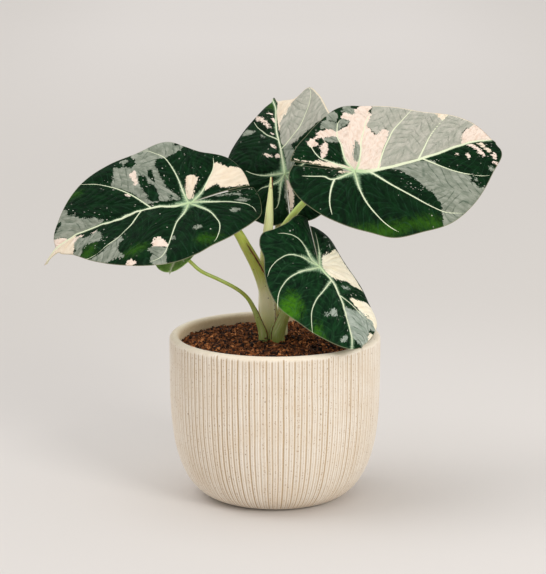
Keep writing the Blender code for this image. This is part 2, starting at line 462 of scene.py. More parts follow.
@dataclass(frozen=True)
class StonewareFinish:
    """Hand-thrown speckled stoneware, with painted shade in its grooves and along the crown of each rib, and
    a painted highlight on the rib edges.
    """

    # Pale glaze, brightened as a painted highlight where it shows on the rib edges.
    rib: Triple = (254, 248, 238)
    plain: Triple = (243, 231, 211)
    # Painted shade for the grooves and for the sunk crown line of each rib.
    groove_shade: Triple = (190, 164, 128)
    inside: Triple = (216, 193, 158)
    warm: Triple = (214, 190, 158)
    dust: Triple = (252, 243, 226)
    freckle: Triple = (172, 138, 100)
    speck: Triple = (146, 116, 84)

    def build(self) -> bpy.types.Material:
        """Make the material.

        Returns:
            The material.
        """
        graph = Graph("stoneware")
        place = graph.place()
        cloud = graph.grain(place, 60.0, 4.0)
        sand = graph.grain(place, 900.0, 3.0, 0.7)
        crown = graph.mark("crown")
        # Painted shade and highlight: the grooves and the sunk crown lines are painted darker, and the rib
        # colour left on the rib edges is a painted highlight.
        body = graph.blend(graph.mark("groove_shade"), self.rib, self.groove_shade)
        body = graph.blend(crown * 0.62, body, self.groove_shade)
        body = graph.blend(graph.mark("plain"), body, self.plain)
        body = graph.blend(graph.mark("inside"), body, self.inside)
        body = graph.blend(graph.ease(cloud, 0.35, 0.7, 0.0, 0.22), body, self.warm)
        body = graph.blend(graph.ease(sand, 0.5, 0.75, 0.0, 0.3), body, self.dust)
        fine = graph.dots(place, 760.0, 0.31, 0.8)
        coarse = graph.dots(place, 480.0, 0.16, 0.035)
        body = graph.blend(fine * graph.ease(crown, 0.3, 0.8, 0.05, 0.62), body, self.freckle)
        body = graph.blend(coarse * 0.75, body, self.speck)
        graph.relief(sand - coarse * 0.6, 0.16, 0.9)
        return graph.surface(body, graph.ease(sand, 0.3, 0.7, 0.78, 0.92), Specular_IOR_Level=0.3)


@dataclass(frozen=True)
class SoilFinish:
    """Coir and bark crumbs, from near black to orange brown."""

    dark: Triple = (28, 14, 7)
    brown: Triple = (138, 80, 39)
    bright: Triple = (208, 134, 78)
    pale: Triple = (226, 196, 160)

    def build(self, name: str, marked: bool) -> bpy.types.Material:
        """Make the material.

        Args:
            name: Its name.
            marked: Whether the mesh carries a tone for each crumb.

        Returns:
            The material.
        """
        graph = Graph(name)
        place = graph.place()
        crumb = graph.grain(place, 700.0, 4.0, 0.7)
        tone = (graph.mark("tone") if marked else 0.1) + crumb * 0.3
        deep = graph.blend(graph.ease(tone, 0.3, 0.85), self.dark, self.brown)
        colour = graph.blend(graph.ease(tone, 0.94, 1.16), deep, self.bright)
        colour = graph.blend(graph.ease(tone, 1.3, 1.36), colour, self.pale)
        graph.relief(crumb, 0.4, 0.8)
        return graph.surface(colour, 0.85, Specular_IOR_Level=0.35)


@dataclass(frozen=True)
class CormFinish:
    """Papery brown skin of the corm."""

    skin: Triple = (104, 70, 44)
    scar: Triple = (52, 33, 21)

    def build(self) -> bpy.types.Material:
        """Make the material.

        Returns:
            The material.
        """
        graph = Graph("corm_skin")
        rings = graph.grain(graph.stretch(graph.place(), (60.0, 60.0, 420.0)), 1.0, 4.0, 0.6)
        colour = graph.blend(graph.ease(rings, 0.35, 0.65), self.scar, self.skin)
        graph.relief(rings, 0.6, 0.8)
        return graph.surface(colour, 0.8)


@dataclass(frozen=True)
class BladeFinish:
    """A velvety blade with patches of silver, cream and blush, over or under it."""

    name: str
    velvet: Triple = (6, 27, 12)
    velvet_light: Triple = (12, 48, 20)
    moss: Triple = (48, 92, 14)
    silver: Triple = (160, 164, 150)
    silver_deep: Triple = (130, 137, 122)
    mist: Triple = (190, 187, 174)
    mist_deep: Triple = (168, 169, 155)
    # Darker colour for the fine veins in silver and mist, and for the painted shade of the creases there.
    net_and_crease_shade: Triple = (92, 106, 90)
    cream: Triple = (243, 228, 205)
    cream_warm: Triple = (236, 215, 188)
    blush: Triple = (243, 225, 210)
    blush_deep: Triple = (231, 206, 188)
    furrow: Triple = (46, 82, 58)
    glow: Triple = (128, 162, 126)
    halo: Triple = (224, 230, 196)
    margin: Triple = (206, 204, 164)
    roughness: float = 0.5
    specular: float = 0.05
    wrinkle: float = 1.1
    hem: float = 0.16

    def _creases(self, graph: Graph, flow: Value) -> Field:
        """Fine sunken lines that branch along the side veins, one on a line and zero away from it; the build
        paints shade along them.

        Args:
            graph: The material's graph.
            flow: Coordinates along the side veins.

        Returns:
            How far a place is on a line.
        """
        lines = []
        for scale, width in (((0.2, 0.045, 1.0), 0.022), ((0.42, 0.16, 1.0), 0.03)):
            wave = graph.grain(graph.stretch(flow, scale), 1.0, 2.0, 0.45) - 0.5
            lines.append(graph.ease(abs(wave), width, 0.0))
        return graph.maths("MAXIMUM", lines[0] * 0.4, lines[1] * 0.5)

    def _furrows(self, graph: Graph, flat: Value) -> Field:
        """Fine veins that leave each vein forward and end where two families of them meet.

        Args:
            graph: The material's graph.
            flat: Flat coordinates.

        Returns:
            How far a place is on a vein.
        """
        clear, rib = graph.mark("clear"), graph.mark("rib")
        span = abs(graph.maths("FRACT", graph.mark("count")) - 0.5)
        worn = graph.ease(graph.grain(flat, 0.22, 2.0), 0.36, 0.62, 0.25, 1.0)
        line = graph.ease(span, 0.13, 0.0) * graph.ease(clear, 0.7, 2.4)
        seam = graph.ease(clear, 1.3, 0.2, 0.0, 0.7)
        both = graph.maths("MAXIMUM", line, seam) * graph.ease(rib, 0.9, 3.5)
        return both * worn

    def build(self) -> bpy.types.Material:
        """Make the material.

        Returns:
            The material.
        """
        graph = Graph(self.name)
        flow = graph.mark("flow", "Vector")
        flat = graph.mark("flat", "Vector")
        wide = graph.grain(graph.stretch(flow, (0.16, 0.05, 1.0)), 1.0, 3.0)
        torn = graph.grain(graph.stretch(flow, (0.6, 0.26, 1.0)), 1.0, 3.0, 0.62)
        fine = graph.grain(flat, 1.1, 3.0, 0.65)
        crease = graph.grain(graph.stretch(flow, (0.34, 0.15, 1.0)), 1.0, 4.0, 0.55)
        lines = self._creases(graph, flow)
        furrow = self._furrows(graph, flat)
        rib = graph.mark("rib")
        swing = (torn - 0.5) * 5.6
        ragged = swing + (fine - 0.5) * 3.4
        ragged = ragged * graph.ease(rib, 0.4, 3.0)
        inverse = ragged * -1.0
        green = graph.blend(graph.ease(crease, 0.35, 0.7), self.velvet, self.velvet_light)
        green = graph.blend(graph.ease(wide, 0.45, 0.75, 0.0, 0.5), green, self.velvet_light)
        moss_edge = graph.mark("moss") + ragged * 2.0
        green = graph.blend(graph.ease(moss_edge, 4.5, -5.5, 0.0, 0.85), green, self.moss)
        # Painted shade: the green is darkened along the sunk crease lines.
        green = graph.blend(lines * 0.5, green, tuple(0.55 * level for level in self.velvet))
        green = graph.blend(furrow * 0.4, green, self.furrow)
        near = graph.ease(graph.maths("MINIMUM", graph.mark("silver"), graph.mark("cream")), 11.0, 1.0)
        torn_flat = graph.stretch(flow, (0.75, 0.5, 1.0))
        specks = graph.dots(torn_flat, 1.0, 0.2, 0.3) * near
        dust = graph.dots(flat, 0.3, 0.11, 0.12) * 0.8
        green = graph.blend(graph.maths("MAXIMUM", specks, dust), green, self.mist)
        comb = graph.grain(graph.mark("count"), 4.5, 3.0, 0.6)
        fringe = graph.ease(graph.mark("reach"), 26.0, 3.0, 0.8, 1.9)
        swing = (comb - 0.5) * (fringe * 3.6)
        whisker = rib - (fringe - 0.8) + swing + (fine - 0.5) * 1.6
        green = graph.blend(graph.ease(whisker, 1.6, 0.0, 0.0, 0.62), green, self.glow)
        hub = graph.mark("reach") + whisker * 4.0
        green = graph.blend(graph.ease(hub, 19.0, 4.0, 0.0, 0.8), green, self.glow)
        # The net mixes painted shade along the sunk crease lines with the darker colour of the fine veins.
        net_and_crease_shade = graph.maths("MAXIMUM", lines * 0.45, furrow)
        grey = graph.blend(graph.ease(crease, 0.35, 0.66), self.silver_deep, self.silver)
        grey = graph.blend(net_and_crease_shade, grey, self.net_and_crease_shade)
        misty = graph.blend(graph.ease(crease, 0.35, 0.66), self.mist_deep, self.mist)
        misty = graph.blend(net_and_crease_shade * 0.7, misty, self.silver_deep)
        pale = graph.blend(graph.ease(wide, 0.4, 0.7), self.cream, self.cream_warm)
        rosy = graph.blend(graph.ease(torn, 0.4, 0.7), self.blush, self.blush_deep)
        rosy = graph.blend(furrow * 0.4, rosy, self.cream)
        pale = graph.blend(furrow * 0.25, pale, self.blush_deep)
        piped = graph.mark("edge") + fine * 1.4
        misty = graph.blend(graph.ease(piped, 1.9, 1.3), misty, self.cream)
        colour = green
        for mark, tone, fray in (
            ("silver", grey, inverse),
            ("mist", misty, inverse),
            ("cream", pale, ragged),
            ("blush", rosy, ragged),
            ("dark", green, ragged),
            ("pewter", grey, ragged * 1.15),
        ):
            colour = graph.blend(graph.ease(graph.mark(mark) + fray, self.hem, -self.hem), colour, tone)
        colour = graph.blend(graph.ease(whisker, 0.9, -0.5, 0.0, 0.45), colour, self.halo)
        colour = graph.blend(graph.ease(graph.mark("edge"), 0.6, 0.1, 0.0, 0.4), colour, self.margin)
        graph.relief(crease + fine * 0.12 - (lines * 0.25 + furrow * 0.35), self.wrinkle, 0.8)
        dull = graph.ease(torn, 0.3, 0.7, self.roughness - 0.06, self.roughness + 0.08)
        return graph.surface(colour, dull, Specular_IOR_Level=self.specular)


@dataclass(frozen=True)
class RibFinish:
    """Pale veins, greener near the hub."""

    name: str = "vein"
    outer: Triple = (228, 234, 200)
    hub: Triple = (190, 214, 164)

    def build(self) -> bpy.types.Material:
        """Make the material.

        Returns:
            The material.
        """
        graph = Graph(self.name)
        streak = graph.grain(graph.mark("flat", "Vector"), 0.5, 3.0)
        near = graph.mark("reach") * graph.ease(streak, 0.2, 0.8, 0.7, 1.3)
        colour = graph.blend(graph.ease(near, 15.0, 1.0), self.outer, self.hub)
        graph.relief(streak, 0.1, 0.5)
        return graph.surface(colour, 0.42, Specular_IOR_Level=0.4)


@dataclass(frozen=True)
class StalkFinish:
    """A petiole: one colour at its foot, another at its top, with streaks and brown freckles."""

    name: str
    foot: Triple
    middle: Triple
    top: Triple
    heights: Triple
    blotch: float
    cream: Triple = (226, 222, 182)
    stain: Triple = (138, 112, 66)
    freckle: Triple = (92, 48, 26)

    def build(self) -> bpy.types.Material:
        """Make the material.

        Returns:
            The material.
        """
        graph = Graph(self.name)
        rise = graph.mark("rise")
        skin = graph.mark("skin", "Vector")
        streak = graph.grain(graph.stretch(skin, (1.6, 0.12, 1.0)), 1.0, 4.0, 0.6)
        cloud = graph.grain(graph.stretch(skin, (0.35, 0.1, 1.0)), 1.0, 3.0)
        low, middle, high = self.heights
        colour = graph.blend(graph.ease(rise, low, middle), self.foot, self.middle)
        colour = graph.blend(graph.ease(rise, middle, high), colour, self.top)
        colour = graph.blend(graph.ease(streak, 0.45, 0.75, 0.0, 0.4), colour, self.cream)
        colour = graph.blend(graph.ease(cloud, 0.55, 0.75, 0.0, self.blotch), colour, self.stain)
        colour = graph.blend(graph.dots(skin, 0.33, 0.14, 0.35) * 0.85, colour, self.freckle)
        graph.relief(streak, 0.25, 0.6)
        return graph.surface(colour, 0.38, Specular_IOR_Level=0.45, Subsurface_Weight=0.08)


@dataclass(frozen=True)
class DryEdgeFinish:
    """Dried red-brown margin of a leaf sheath."""

    rust: Triple = (136, 74, 40)
    husk: Triple = (74, 36, 24)

    def build(self) -> bpy.types.Material:
        """Make the material.

        Returns:
            The material.
        """
        graph = Graph("dry_edge")
        patchy = graph.grain(graph.place(), 420.0, 3.0)
        colour = graph.blend(graph.ease(patchy, 0.4, 0.6), self.husk, self.rust)
        graph.relief(patchy, 0.2, 0.7)
        return graph.surface(colour, 0.7)


@dataclass(frozen=True)
class StudioFinish:
    """Matt pale studio floor, painted darker in a ring at middle distance and towards the sides and paler far
    off, as painted shade and light.
    """

    tone: Triple = (218, 213, 209)
    # Painted shade for the ring at middle distance and for the sides.
    middle: Triple = (210, 205, 200)
    # Paler floor far off, painted light.
    far: Triple = (223, 218, 214)

    def build(self) -> bpy.types.Material:
        """Make the material.

        Returns:
            The material.
        """
        graph = Graph("studio_floor")
        place = graph.place()
        mottle = graph.grain(place, 0.8, 2.0)
        # Painted shade and light: a darker ring at middle distance, a paler floor far off, and darker sides.
        near = graph.ball(graph.stretch(place, (0.25, 0.25, 0.25)))
        colour = graph.blend(graph.ease(near, 0.95, 0.83), self.tone, self.middle)
        colour = graph.blend(graph.ease(near, 0.75, 0.3), colour, self.far)
        middle_band = graph.ball(graph.stretch(place, (1.0, 0.0, 0.0)))
        colour = graph.blend(graph.ease(middle_band, 0.8, 0.45, 0.0, 0.62), colour, self.middle)
        colour = graph.blend(graph.ease(mottle, 0.3, 0.7, 0.0, 0.12), colour, self.middle)
        return graph.surface(colour, 0.9, Specular_IOR_Level=0.1)


# The pot.


@dataclass
class RibbedPot:
    """The bellied pot, with its hand-cut ribs and smooth round rim."""

    height: float = 109.0
    radius: float = 69.5
    foot_radius: float = 36.0
    shoulder: float = 105.0
    belly_power: float = 3.9
    foot_power: float = 2.0
    wall: float = 6.8
    floor: float = 9.0
    ribs: int = 116
    columns_per_rib: int = 9
    groove_depth: float = 0.75
    groove_width: float = 0.17
    crown_depth: float = 0.22
    crown_width: float = 0.17
    lump_height: float = 0.16
    rib_top: float = 106.6
    rib_foot: float = 1.3
    wall_rows: int = 58
    rim_rows: int = 12
    inner_rows: int = 18
    foot_rings: tuple[float, ...] = (0.0, 12.0, 24.0, 32.0)
    floor_rings: tuple[float, ...] = (20.0, 0.0)
    seed: int = 11

    def outer_radius(self, height: np.ndarray) -> np.ndarray:
        """Radius of the outside at heights.

        Args:
            height: Heights.

        Returns:
            The radii.
        """
        reach = np.maximum(0.0, 1 - height / self.shoulder)
        share = (1 - reach**self.belly_power) ** (1 / self.foot_power)
        return self.foot_radius + (self.radius - self.foot_radius) * share

    def inner_radius(self, height: np.ndarray) -> np.ndarray:
        """Radius of the inside at heights, rounded into the floor."""
        rise = np.clip((height - self.floor) / (2 * self.floor), 0.0, 1.0)
        return (self.outer_radius(height) - self.wall) * (0.8 + 0.2 * np.sqrt(1 - (1 - rise) ** 2))

    def section(self) -> tuple[np.ndarray, np.ndarray, np.ndarray]:
        """Trace the section from the middle of the foot, up outside, over the rim and down inside.

        Returns:
            Radii, heights, and how far each point belongs to the inside.
        """
        rim = self.wall / 2
        rim_height = self.height - rim
        outside = rim_height * np.linspace(0.0, 1.0, self.wall_rows) ** 1.7
        turn = np.linspace(0.0, math.pi, self.rim_rows + 2)[1:-1]
        over = smooth_step(1.7, 3.0, turn)
        inside = np.linspace(rim_height, self.floor, self.inner_rows)
        parts = (
            (self.foot_rings, np.zeros(len(self.foot_rings)), 0.0),
            (self.outer_radius(outside), outside, 0.0),
            (self.radius - rim + rim * np.cos(turn), rim_height + rim * np.sin(turn), over),
            (self.inner_radius(inside), inside, 1.0),
            (self.floor_rings, np.full(len(self.floor_rings), self.floor), 1.0),
        )
        radii, heights = (np.concatenate([part[index] for part in parts]) for index in (0, 1))
        within = np.concatenate([np.broadcast_to(part[2], len(part[0])) for part in parts])
        return radii, heights, within

    def build(self, finish: StonewareFinish) -> bpy.types.Object:
        """Make the pot.

        Args:
            finish: Its glaze.

        Returns:
            The pot's object.
        """
        radii, heights, within = self.section()
        columns = self.ribs * self.columns_per_rib
        turn = np.arange(columns) * 2 * math.pi / columns
        rows = len(radii)
        angle = np.broadcast_to(turn, (rows, columns))
        radius = np.broadcast_to(radii[:, None], (rows, columns))
        level = np.broadcast_to(heights[:, None], (rows, columns))
        draw = np.random.default_rng(self.seed)
        number = np.arange(columns) // self.columns_per_rib
        lean = draw.normal(0, 0.05, self.ribs)[number]
        deep = draw.uniform(0.75, 1.15, self.ribs)[number]
        end = self.rib_top + draw.normal(0, 0.35, self.ribs)[number]
        around = np.stack((np.cos(angle) * 9, np.sin(angle) * 9, level * 0.045), -1).reshape(-1, 3)
        sway = 0.11 * noise_at(around).reshape(rows, columns)
        across = (angle * self.ribs / (2 * math.pi) + sway) % 1.0 - 0.5 + lean
        cut = np.exp(-((np.abs(across) / self.groove_width) ** 2.6)) * deep
        full = smooth_step(self.rib_foot, self.rib_foot + 1.6, level)
        full = full * (1 - smooth_step(end - 0.8, end + 1.0, level))
        full = full * (1 - within[:, None]) * (np.arange(rows)[:, None] >= len(self.foot_rings))
        lumps = self.lump_height * noise_at(around * np.array((2.3, 2.3, 6.0)) + 5).reshape(rows, columns)
        share = radius / self.radius
        crown = np.exp(-(((0.5 - np.abs(across)) / self.crown_width) ** 2)) * full
        sunk = self.groove_depth * cut * full + self.crown_depth * crown
        radius = radius - sunk * share + lumps * np.minimum(1.0, share * 2) * (radius > 1)
        points = np.stack((radius * np.cos(angle), radius * np.sin(angle), level), -1).reshape(-1, 3)
        draft = Draft("ribbed_pot")
        inside = np.broadcast_to(within[:, None], (rows, columns))
        faces = grid_faces(rows, columns, closed=True)
        # The groove and crown marks show where the stoneware paints shade.
        marks = {"groove_shade": cut * full, "crown": crown, "plain": 1 - full, "inside": inside}
        draft.add(points, [(faces, 0)], **{name: values.ravel() for name, values in marks.items()})
        item = draft.finish([finish.build()])
        place_piece(item, "stoneware", "pot")
        return item


# The soil.


@dataclass
class SoilBed:
    """The potting mix: a low mound with loose crumbs and fibres over it."""

    crown: float = 104.5
    edge_radius: float = 62.4
    edge_height: float = 101.5
    crumbs: int = 11500
    smallest: float = 0.4
    largest: float = 1.9
    fibre_share: float = 0.16
    crumb_reach: float = 1.5
    skirt: float = 14.0
    rows: int = 60
    columns: int = 260
    seed: int = 23

    def height_at(self, x: np.ndarray, y: np.ndarray) -> np.ndarray:
        """Height of the mound, with its hummocks, at flat places.

        Args:
            x: Places to the right.
            y: Places to the back.

        Returns:
            The heights.
        """
        radius = np.hypot(x, y)
        smooth = np.interp(
            radius, (0.0, 20.85, 54.7, self.edge_radius), (self.crown, SOIL_LINE, 102.1, self.edge_height)
        )
        places = np.stack((x, y, np.zeros_like(x)), -1)
        return smooth + 1.3 * noise_at(places / 7.0) + 0.8 * noise_at(places / 3.0 + 4)

    def _bed(self, finish: SoilFinish) -> bpy.types.Object:
        """Make the mound.

        Args:
            finish: Finish of the mix.

        Returns:
            The mound's object.
        """
        radius = np.linspace(0.02, 1.0, self.rows) * self.edge_radius
        turn = np.arange(self.columns) * 2 * math.pi / self.columns
        x = (radius[:, None] * np.cos(turn)).ravel()
        y = (radius[:, None] * np.sin(turn)).ravel()
        top = np.stack((x, y, self.height_at(x, y) - 0.5), -1)
        skirt = top[-self.columns :] - np.array((0, 0, self.skirt))
        draft = Draft("soil_mound")
        faces = grid_faces(self.rows + 1, self.columns, closed=True)
        draft.add(np.vstack((top, skirt)), [(faces, 0)])
        item = draft.finish([finish.build("soil_mound", marked=False)])
        place_piece(item, "potting_mix", "soil")
        return item

    def _crumbs(self, finish: SoilFinish) -> bpy.types.Object:
        """Scatter the crumbs and fibres.

        Args:
            finish: Finish of the mix.

        Returns:
            The crumbs' object.
        """
        draw = np.random.default_rng(self.seed)
        count = self.crumbs
        radius = (self.edge_radius - 0.8) * np.sqrt(draw.uniform(0, 1, count))
        turn = draw.uniform(0, 2 * math.pi, count)
        x, y = radius * np.cos(turn), radius * np.sin(turn)
        size = self.smallest + (self.largest - self.smallest) * draw.beta(1.6, 3.2, count)
        corner = np.array(((1, 0, 0), (-1, 0, 0), (0, 1, 0), (0, -1, 0), (0, 0, 1), (0, 0, -1)), float)
        shape = corner[None] * draw.uniform(0.6, 1.25, (count, 6, 1)) + draw.normal(0, 0.22, (count, 6, 3))
        fibre = draw.uniform(0, 1, count) < self.fibre_share
        stretch = np.ones((count, 1, 3))
        stretch[fibre, 0, 0] = draw.uniform(2.0, 4.2, fibre.sum())
        stretch[fibre, 0, 1:] = 0.5
        spin = draw.normal(0, 1, (count, 4))
        spin[fibre, 1:3] *= 0.16
        spin /= np.linalg.norm(spin, axis=1)[:, None]
        w, i, j, k = spin.T
        turned = np.stack(
            (
                np.stack((1 - 2 * (j * j + k * k), 2 * (i * j - k * w), 2 * (i * k + j * w)), -1),
                np.stack((2 * (i * j + k * w), 1 - 2 * (i * i + k * k), 2 * (j * k - i * w)), -1),
                np.stack((2 * (i * k - j * w), 2 * (j * k + i * w), 1 - 2 * (i * i + j * j)), -1),
            ),
            1,
        )
        points = np.einsum("nij,nvj->nvi", turned, shape * stretch * size[:, None, None])
        points[..., 2] = np.clip(points[..., 2], -self.crumb_reach, self.crumb_reach)
        centre = np.stack((x, y, self.height_at(x, y) + size * draw.uniform(-0.5, 0.75, count)), -1)
        points = (points + centre[:, None, :]).reshape(-1, 3)
        reach = np.hypot(points[:, 0], points[:, 1])
        points[:, :2] *= np.minimum(1.0, (self.edge_radius + 0.1) / np.maximum(reach, 1e-6))[:, None]
        cell = np.array(
            ((0, 2, 4), (2, 1, 4), (1, 3, 4), (3, 0, 4), (2, 0, 5), (1, 2, 5), (3, 1, 5), (0, 3, 5))
        )
        faces = (np.arange(count)[:, None, None] * 6 + cell[None]).reshape(-1, 3)
        tone = np.repeat(draw.beta(1.25, 1.9, count) * 1.2, 6)
        draft = Draft("soil_crumbs")
        draft.add(points, [(faces, 0)], tone=tone)
        item = draft.finish([finish.build("soil_crumbs", marked=True)])
        item.data.shade_flat()
        place_piece(item, "potting_mix")
        return item

    def build(self, finish: SoilFinish) -> None:
        """Make the mound and its crumbs."""
        self._bed(finish)
        self._crumbs(finish)


# The blades.


class Tone(Enum):
    """Tones of a patch, from the lowest layer to the topmost."""

    MOSS = "moss"
    SILVER = "silver"
    MIST = "mist"
    CREAM = "cream"
    BLUSH = "blush"
    DARK = "dark"
    PEWTER = "pewter"


@dataclass
class Blade:
    """A heart-shaped blade: a bent, folded heart with its veins and patches.

    The veins and the patches of each tone are outlined along and across the blade from its hub. The blade's
    own outline gives the margin's distance from the hub at angles from the midrib.
    """

    name: str
    node: str
    slot: str
    hub: Triple
    turn: Triple
    droop: float
    fold: Pair
    curl: Pair
    tip: float
    outline: Outline
    midrib: Outline
    veins: tuple[Outline, ...]
    patches: dict[Tone, tuple[Outline, ...]] = field(default_factory=dict)
    seed: float = 0.0
    vein_girth: float = 0.38
    midrib_girth: float = 0.8
    half_thickness: float = 0.4
    midrib_round: float = 4.0
    tip_width: float = 1.1
    rings: int = 84
    ray_step: float = 0.8
    quilt: float = 1.25
    fine_pitch: float = 5.6
    margin_grip: float = 2.6
    margin_steps: int = 260
    sag: float = 0.0
    sag_start: float = 95.0

    def reach(self, angle: np.ndarray) -> np.ndarray:
        """Distance from hub to margin at angles in degrees.

        Args:
            angle: Angles from the midrib.

        Returns:
            The distances.
        """
        curve = smooth_line(np.array(self.outline), 8)
        drip = self.tip * np.exp(-((angle / self.tip_width) ** 2))
        return np.interp(angle, curve[:, 0], curve[:, 1]) + drip

    def bent(self, flat: np.ndarray) -> np.ndarray:
        """Places in space of flat places on the blade.

        Args:
            flat: Rows of flat places.

        Returns:
            Rows of three coordinates.
        """
        along, across = flat.T
        side = np.where(across >= 0, 0, 1)
        fold = np.radians(np.array(self.fold))[side]
        lift = np.sin(fold) * (np.hypot(across, self.midrib_round) - self.midrib_round)
        lift = lift - np.array(self.curl)[side] * across**2
        turn = self.droop * along
        forward = np.sin(turn) / self.droop + lift * np.sin(turn)
        upward = (np.cos(turn) - 1) / self.droop + lift * np.cos(turn)
        upward = upward - self.sag * np.maximum(0.0, along - self.sag_start) ** 2
        heading, rise, roll = (math.radians(angle) for angle in self.turn)
        spin = np.array(Euler((roll, -rise, heading)).to_matrix())
        hub = np.array(self.hub) + np.array((0, 0, SOIL_LINE))
        return np.stack((forward, across * np.cos(fold), upward), -1) @ spin.T + hub

    def normals(self, flat: np.ndarray) -> np.ndarray:
        """Upward normals at flat places.

        Args:
            flat: Rows of flat places.

        Returns:
            Rows of unit normals.
        """
        step = 0.2
        here = self.bent(flat)
        ahead = self.bent(flat + np.array((step, 0.0))) - here
        aside = self.bent(flat + np.array((0.0, step))) - here
        normal = np.cross(ahead, aside)
        return normal / np.linalg.norm(normal, axis=1)[:, None]

    def flow(self, flat: np.ndarray) -> np.ndarray:
        """Coordinates that run across and along the side veins.

        Args:
            flat: Rows of flat places.

        Returns:
            Rows of three coordinates.
        """
        along, across = flat[:, 0], np.abs(flat[:, 1])
        start = along - across
        angle = np.arctan2(across, along) - math.pi / 4
        ahead = start > 0
        over = np.where(ahead, start * 0.707, -angle * 30)
        out = np.where(ahead, across * 1.414, np.hypot(along, across))
        side = np.where(flat[:, 1] >= 0, 7.0, -7.0) + self.seed
        return np.stack((over, out, side), -1)

    def _vein_lines(self) -> list[tuple[np.ndarray, float]]:
        """Smoothed veins with their girth at the start, the midrib first."""
        lines = [(smooth_line(np.array(self.midrib), 5), self.midrib_girth)]
        return lines + [(smooth_line(np.array(vein), 4), self.vein_girth) for vein in self.veins]

    def _vein_fields(self, flat: np.ndarray) -> tuple[np.ndarray, np.ndarray]:
        """Distances of flat places to the midrib and to the nearest side vein.

        Args:
            flat: Rows of flat places.

        Returns:
            Distances to the midrib, and distances to a side vein.
        """
        lines = self._vein_lines()
        middle, _ = distance_to_line(flat, lines[0][0])
        side = np.full(len(flat), 40.0)
        for line, _ in lines[1:]:
            away, share = distance_to_line(flat, line)
            side = np.minimum(side, away + 1.2 * share**3)
        return middle, side

    def fine_veins(self, flat: np.ndarray) -> tuple[np.ndarray, np.ndarray]:
        """Lay the fine veins that leave each vein forward.

        Args:
            flat: Rows of flat places.

        Returns:
            How many fine veins come before each place on its nearest vein, and how much nearer that vein
            is than the next one.
        """
        away, along = [], []
        for line, _ in self._vein_lines():
            distance, share = distance_to_line(flat, line)
            away.append(distance)
            along.append(share * np.linalg.norm(np.diff(line, axis=0), axis=1).sum())
        order = np.argsort(np.stack(away), axis=0)[:2]
        near, beyond = np.take_along_axis(np.stack(away), order, 0)
        start = np.take_along_axis(np.stack(along), order[:1], 0)[0] - 0.3 * near - 0.035 * near**2
        drift = 0.45 * noise_at(np.stack((flat[:, 0], flat[:, 1], np.full(len(flat), self.seed)), -1) * 0.11)
        return start / self.fine_pitch + drift + 0.37 * order[0], beyond - near

    def relief(self, flat: np.ndarray, edge: np.ndarray) -> np.ndarray:
        """Rise of the surface between the veins at flat places, fading towards the margin.

        Args:
            flat: Rows of flat places.
            edge: Their distances to the margin.

        Returns:
            The rise at each place.
        """
        middle, side = self._vein_fields(flat)
        near = np.minimum(middle, side)
        flow = self.flow(flat)
        quilt = 1.5 * (1 - np.exp(-near / 5.5)) - 0.75
        wrinkle = 0.45 * noise_at(flow * np.array((0.27, 0.06, 1.0)))
        wrinkle += 0.55 * noise_at(flow * np.array((0.12, 0.045, 1.0)) + 9)
        count, clear = self.fine_veins(flat)
        puff = np.abs(np.sin(math.pi * (count - 0.5)))
        wrinkle += 0.62 * (puff * smooth_step(0.3, 3.0, clear) * smooth_step(1.0, 5.0, near))
        creases = -0.3 * np.exp(-((middle / 1.1) ** 2)) - 0.15 * np.exp(-((side / 0.9) ** 2))
        swell = self.quilt * (quilt + wrinkle) * smooth_step(0.0, 7.0, edge)
        return swell + creases * smooth_step(0.0, 1.5, edge)

    def _margin(self, angles: np.ndarray) -> np.ndarray:
        """The blade's outline in flat places, closed through the hub.

        Args:
            angles: Angles from the midrib in degrees.

        Returns:
            Rows of flat places.
        """
        turn = np.radians(angles)
        outer = self.reach(angles)[:, None] * np.stack((np.cos(turn), np.sin(turn)), -1)
        return np.vstack((np.zeros((1, 2)), outer, np.zeros((1, 2))))

    def _edge_distance(self, flat: np.ndarray) -> np.ndarray:
        """Distances of flat places to the margin.

        Args:
            flat: Rows of flat places.

        Returns:
            The distances.
        """
        angles = np.linspace(self.outline[0][0], self.outline[-1][0], self.margin_steps)
        away, _ = distance_to_line(flat, self._margin(angles))
        return away

    def _carried_out(self, outline: Outline) -> np.ndarray:
        """A patch's smoothed outline, with points near the margin carried past it.

        Args:
            outline: The patch's outline.

        Returns:
            Rows of flat places.
        """
        points = np.array(outline, float)
        angle = np.degrees(np.arctan2(points[:, 1], points[:, 0]))
        first, last = self.outline[0][0], self.outline[-1][0]
        angle = np.where(angle < first, angle + 360, np.where(angle > last, angle - 360, angle))
        margin, reach, grip = self.reach(angle), np.hypot(*points.T), self.margin_grip
        grown = np.where(reach > margin - grip, np.maximum(reach, margin + grip), reach)
        return smooth_line(points * (grown / np.maximum(reach, 0.1))[:, None], 3, closed=True)

    def _marks(self, flat: np.ndarray, edge: np.ndarray, rib: np.ndarray) -> dict[str, np.ndarray]:
        """Marks of points outside every patch, from their distances to the margin and to a vein.

        Args:
            flat: Rows of flat places.
            edge: Their distances to the margin.
            rib: Their distances to a vein.

        Returns:
            Values of each mark, by its name.
        """
        marks = {"edge": edge, "rib": rib, "reach": np.hypot(*flat.T), "flow": self.flow(flat)}
        marks["flat"] = np.column_stack((flat, np.full(len(flat), self.seed)))
        marks["count"] = marks["clear"] = np.zeros(len(flat))
        return marks | {tone.value: np.full(len(flat), FAR) for tone in Tone}

